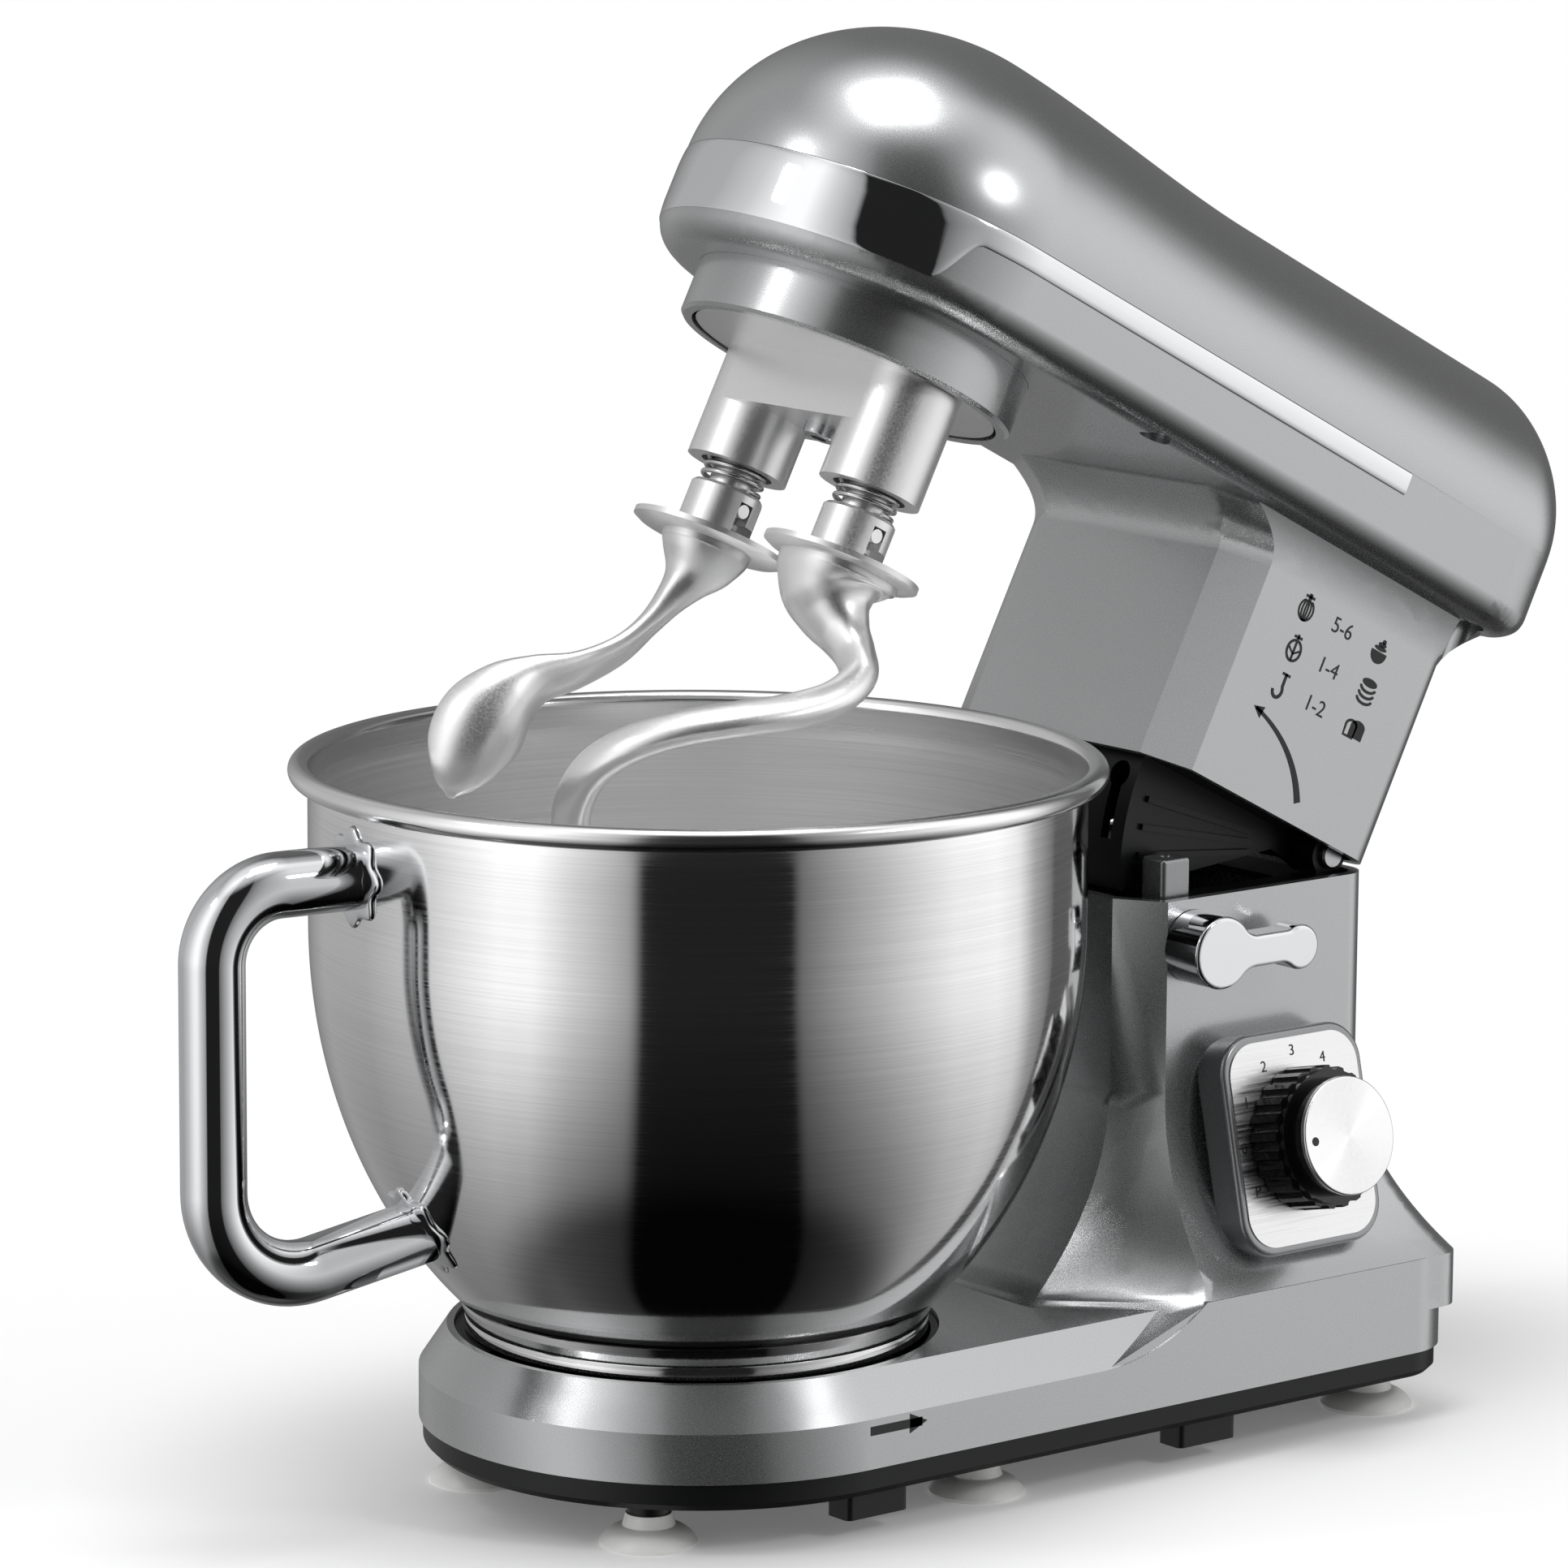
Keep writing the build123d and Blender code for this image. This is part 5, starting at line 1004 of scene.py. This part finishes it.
# %% [markdown]
# Below the rows a curved arrow shows which way the head swings. An arc could draw it, but a real
# one is livelier: its line runs from one point to another, bends towards a third, and gets thinner
# towards its head.

# %% Marks on the neck
NECK_X, FAIRING_FROM, FAIRING_RISE = 53.0, 232.0, 0.01
ROW_SIZE = 6.8
SWING_THICK, SWING_THIN, SWING_HEAD, SWING_POINTS = 2.5, 1.0, 4.2, 40
SWING_FROM, SWING_BEND, SWING_TO = np.array([(174.4, 174.5), (165.6, 189.8), (144.5, 193.9)])


def on_neck(points):
    """The neck's right wall: across is y, up is z on the shut head, following its slight flare."""
    flare = FAIRING_RISE * np.clip(points[:, 1] - FAIRING_FROM, 0, None) ** 2
    return raised(np.column_stack([NECK_X + INK_LIFT + flare, points]))


t = np.linspace(0, 1, SWING_POINTS)[:, None]
swing = (1 - t) ** 2 * SWING_FROM + 2 * t * (1 - t) * SWING_BEND + t**2 * SWING_TO
swing_width = np.linspace(SWING_THICK, SWING_THIN, SWING_POINTS)
neck_shapes = [
    *whisk(150.2, 226.8), figures("5-6", ROW_SIZE, (166.5, 226.6)), *cream_cup(183.6, 226.2),
    *beater(151.4, 214.6), figures("1-4", ROW_SIZE, (166.8, 214.2)), *layer_stack(184.6, 214.4),
    *dough_hook(151.9, 202.8), figures("1-2", ROW_SIZE, (167.2, 202.3)), *loaf(185.2, 202.2),
    *arrow(swing, swing_width, SWING_HEAD),
]
printed("neck_marks", neck_shapes, on_neck, "head")

# %% [markdown]
# The dial plate has its figures round the knob, the cap a dot that points to them, and the base
# an arrow for the way the bowl turns to lock. The plate leans back, so its plane has its own
# outward and upward directions, and the solids tell how far out each face lies.

# %% Marks on the dial, the cap and the base
DIAL_LEAN = math.radians(13)
DIAL_CENTRE = np.array([69.9, 170.0, 90.5])
DIAL_OUT = np.array([math.cos(DIAL_LEAN), 0, math.sin(DIAL_LEAN)])
DIAL_AXES = np.array([[0, 1, 0], [-math.sin(DIAL_LEAN), 0, math.cos(DIAL_LEAN)]])
DIAL_FIGURES = {"P": 210, "0": 180, "1": 150, "2": 120, "3": 90, "4": 60, "5": 30, "6": 0}
FIGURE_SIZE = 4.6
FIGURE_OVAL = np.array([23.3, 26.0])  # across and up: the plate is narrower than it is tall
DOT_AT, DOT_R = -13.4, 1.3
BASE_SIDE_X = 79.6
LOCK_FROM, LOCK_TO, LOCK_Z, LOCK_POINTS = -0.5, 20.0, 32.6, 12
LOCK_WIDTH, LOCK_HEAD = 2.6, 6.4


def on_dial(node):
    """Lays points on a face of the dial, as far out as the node reaches: centre + out + across + up."""
    height = ((coordinates(nodes[node].data) * MM - DIAL_CENTRE) @ DIAL_OUT).max()
    base = DIAL_CENTRE + DIAL_OUT * (height + INK_LIFT)
    return lambda points: at_rest(base + points @ DIAL_AXES)


def on_base_side(points):
    """The base's right wall: across is y, up is z."""
    return at_rest(np.column_stack([np.full(len(points), BASE_SIDE_X + INK_LIFT), points]))


turns = np.radians(list(DIAL_FIGURES.values()))
spots = FIGURE_OVAL * np.stack([np.cos(turns), np.sin(turns)], -1)
dial_shapes = [figures(text, FIGURE_SIZE, spot) for text, spot in zip(DIAL_FIGURES, spots)]
printed("dial_figures", dial_shapes, on_dial("dial_plate"), "base")
printed("knob_dot", [filled(oval((DOT_AT, 0), DOT_R, DOT_R)[:-1])], on_dial("knob_cap"), "knob")
lock_line = np.linspace((LOCK_FROM, LOCK_Z), (LOCK_TO, LOCK_Z), LOCK_POINTS)
printed("lock_arrow", arrow(lock_line, LOCK_WIDTH, LOCK_HEAD), on_base_side, "base")

# %% [markdown]
# ## Floor, light and camera
# The mixer stands on a white paper sweep. A plain disc is enough: away from the mixer it fades
# out, so the paper and the bright room behind it run into each other without an edge.

# %% Floor
FLOOR_R, FLOOR_SIDES = 0.9, 96
FLOOR_MIDDLE = (0, 0.08, 0)
FADE_FROM, FADE_TO = 0.20, 0.46
turn = np.linspace(0, 2 * np.pi, FLOOR_SIDES, endpoint=False)
floor_points = np.stack([np.cos(turn), np.sin(turn), 0 * turn], -1) * FLOOR_R + FLOOR_MIDDLE
floor_mesh = bpy.data.meshes.new("floor")
floor_mesh.from_pydata(floor_points.tolist(), [], [range(FLOOR_SIDES)])
floor = link("floor", floor_mesh)
# Uncoated paper: white without gloss, so only shadows show on it.
floor_paint, tree, shader, place = finish(
    "matt white paper", "#fafafa", 0.0, 0.95,
    **{"Emission Color": (1, 1, 1, 1), "Emission Strength": 0.12},
)
away = add(tree, "ShaderNodeVectorMath", {0: place, 1: FLOOR_MIDDLE}, operation="DISTANCE")
thinning = {"Value": away.outputs["Value"], "From Min": FADE_FROM, "From Max": FADE_TO,
            "To Min": 1.0, "To Max": 0.0}
fade = add(tree, "ShaderNodeMapRange", thinning, interpolation_type="SMOOTHSTEP")
tree.links.new(fade.outputs["Result"], shader.inputs["Alpha"])
floor.data.materials.append(floor_paint)
floor.visible_glossy = False
print("floor", FLOOR_R * 2, "m across")

# %% [markdown]
# Polished metal shows the room, so the room is drawn with care: light walls either side of a dark
# gap behind the camera, which makes the dark stripe on the bowl. Screens could stand round the
# mixer as objects, but a table is easier to tune. It gives the light by compass direction, in
# degrees from the front towards the knob's side. Below eye level the directions are drawn
# together, so that the gap widens towards the floor.

# %% Studio walls
CAMERA_AZIMUTH = math.radians(52)
WALL_LIGHT = (
    (-180, 0.10), (-125, 0.12), (-90, 0.40), (-60, 0.42), (-34, 0.62), (-7, 1.05), (4, 1.05),
    (16, 0.70), (33, 0.36), (36.5, 0.015), (79, 0.015), (81, 0.15), (105, 0.48), (131, 0.92),
    (148, 1.0), (158, 0.85), (166, 0.40), (180, 0.10),
)
world = bpy.data.worlds.new("studio")
bpy.context.scene.world = world
world.use_nodes = True
sky = world.node_tree
sky.nodes.clear()
MATH, RANGE = "ShaderNodeMath", "ShaderNodeMapRange"
look = add(sky, "ShaderNodeTexCoord").outputs["Generated"]
way = add(sky, "ShaderNodeSeparateXYZ", {"Vector": look}).outputs
height = way["Z"]
front = add(sky, MATH, {0: way["Y"], 1: -1.0}, operation="MULTIPLY").outputs[0]
azimuth = add(sky, MATH, {0: way["X"], 1: front}, operation="ARCTAN2").outputs[0]
below = add(sky, MATH, {0: height, 1: 0.0}, operation="MINIMUM").outputs[0]
depth = add(sky, MATH, {0: below, 1: below}, operation="MULTIPLY").outputs[0]
level = add(sky, MATH, {0: 1.0, 1: depth}, operation="SUBTRACT").outputs[0]
narrow = add(sky, MATH, {0: level}, operation="SQRT").outputs[0]
aside = add(sky, MATH, {0: azimuth, 1: CAMERA_AZIMUTH}, operation="SUBTRACT").outputs[0]
drawn = {0: aside, 1: narrow, 2: CAMERA_AZIMUTH}
direction = add(sky, MATH, drawn, operation="MULTIPLY_ADD").outputs[0]
compass = add(sky, RANGE, {"Value": direction, "From Min": -math.pi, "From Max": math.pi})
walls = add(sky, "ShaderNodeValToRGB", {"Fac": compass.outputs["Result"]})
stops = walls.color_ramp.elements
END_STOPS = {-180: 0, 180: -1}  # a new ramp already has these two
for degrees, power in WALL_LIGHT:
    position = (degrees + 180) / 360
    stop = stops[END_STOPS[degrees]] if degrees in END_STOPS else stops.new(position)
    stop.position, stop.color = position, (power, power, power, 1)
print("wall lights", len(stops))

# %% [markdown]
# The walls get darker towards the floor and stop short of the ceiling, which is a light of its
# own. What the camera sees directly stays plain white.

# %% Fades and ceiling
WALL_POWER, CEILING_POWER = 1.3, 0.75
CEILING_FROM, CEILING_TO = 0.78, 0.97
# Each fade: from and to a height (sine of the angle up), the shares there, straight or soft
WALL_FADES = (
    (-0.86, -0.08, 0.14, 1.0, "LINEAR"),
    (-0.86, -0.74, 0.45, 1.0, "SMOOTHSTEP"),
    (0.70, 0.95, 1.0, 0.5, "SMOOTHSTEP"),
)
room = walls.outputs["Color"]
for low, high, low_share, high_share, kind in WALL_FADES:
    heights = {"Value": height, "From Min": low, "From Max": high,
               "To Min": low_share, "To Max": high_share}
    fade = add(sky, RANGE, heights, interpolation_type=kind)
    room = add(sky, MATH, {0: room, 1: fade.outputs["Result"]}, operation="MULTIPLY").outputs[0]
overhead = {"Value": height, "From Min": CEILING_FROM, "From Max": CEILING_TO,
            "To Max": CEILING_POWER}
ceiling = add(sky, RANGE, overhead, interpolation_type="SMOOTHSTEP").outputs["Result"]
total = add(sky, MATH, {0: room, 1: WALL_POWER, 2: ceiling}, operation="MULTIPLY_ADD").outputs[0]
direct = add(sky, "ShaderNodeLightPath").outputs["Is Camera Ray"]
seen = add(sky, "ShaderNodeMix", {"Factor": direct, 2: total, 3: 1.0}, data_type="FLOAT")
light = {"Color": (1, 1, 1, 1), "Strength": seen.outputs[0]}
background = add(sky, "ShaderNodeBackground", light)
add(sky, "ShaderNodeOutputWorld", {"Surface": background.outputs[0]})
print("nodes in the studio", len(sky.nodes))

# %% [markdown]
# Three soft boxes add what the walls can't: one above, for the shadow under the base, and two
# smaller ones that leave the bright spots on the head. A sun would throw shadows that are too
# hard for a studio, so all three are area lamps.

# %% Lamps
# Each lamp: place and aim in metres, side of its square in metres, watts
LAMPS = {
    "top_light": ((0.1, 0.0, 1.7), (0, 0.05, 0.2), 0.6, 9),
    "key_light": ((-0.35, -1.25, 1.45), (0, 0.05, 0.3), 0.22, 2.2),
    "right_light": ((1.5, 0.6, 1.2), (0, 0.15, 0.25), 0.25, 4),
}
for name, (spot, aim, side, watts) in LAMPS.items():
    lamp_data = bpy.data.lights.new(name, "AREA")
    lamp_data.shape, lamp_data.size, lamp_data.energy = "SQUARE", side, watts
    lamp = link(name, lamp_data)
    lamp.location = spot
    lamp.rotation_euler = (Vector(aim) - Vector(spot)).to_track_quat("-Z", "Y").to_euler()
print("lamps", list(LAMPS))

# %% [markdown]
# The view is that of a long lens from a little above the bowl's rim, to the right of the front. A
# camera could be aimed by eye, but to lay the render over the picture, its three axes were worked
# out from points that both show, and they are given as they are.

# %% Camera
CAMERA_AT = (1.5454, -1.2047, 0.5583)
CAMERA_RIGHT, CAMERA_UP = (0.6236, 0.7817, 0.0061), (-0.1428, 0.1062, 0.9840)
CAMERA_BACK = (0.7686, -0.6145, 0.1778)
camera_data = bpy.data.cameras.new("camera")
camera_data.lens, camera_data.sensor_width, camera_data.clip_end = 161.8, 36.0, 50
camera = link("camera", camera_data)
axes = np.column_stack([CAMERA_RIGHT, CAMERA_UP, CAMERA_BACK, CAMERA_AT])
camera.matrix_world = Matrix([*axes.tolist(), (0, 0, 0, 1)])
bpy.context.scene.camera = camera
bpy.context.scene.view_settings.view_transform = "Standard"
print("lens", camera_data.lens, "mm")
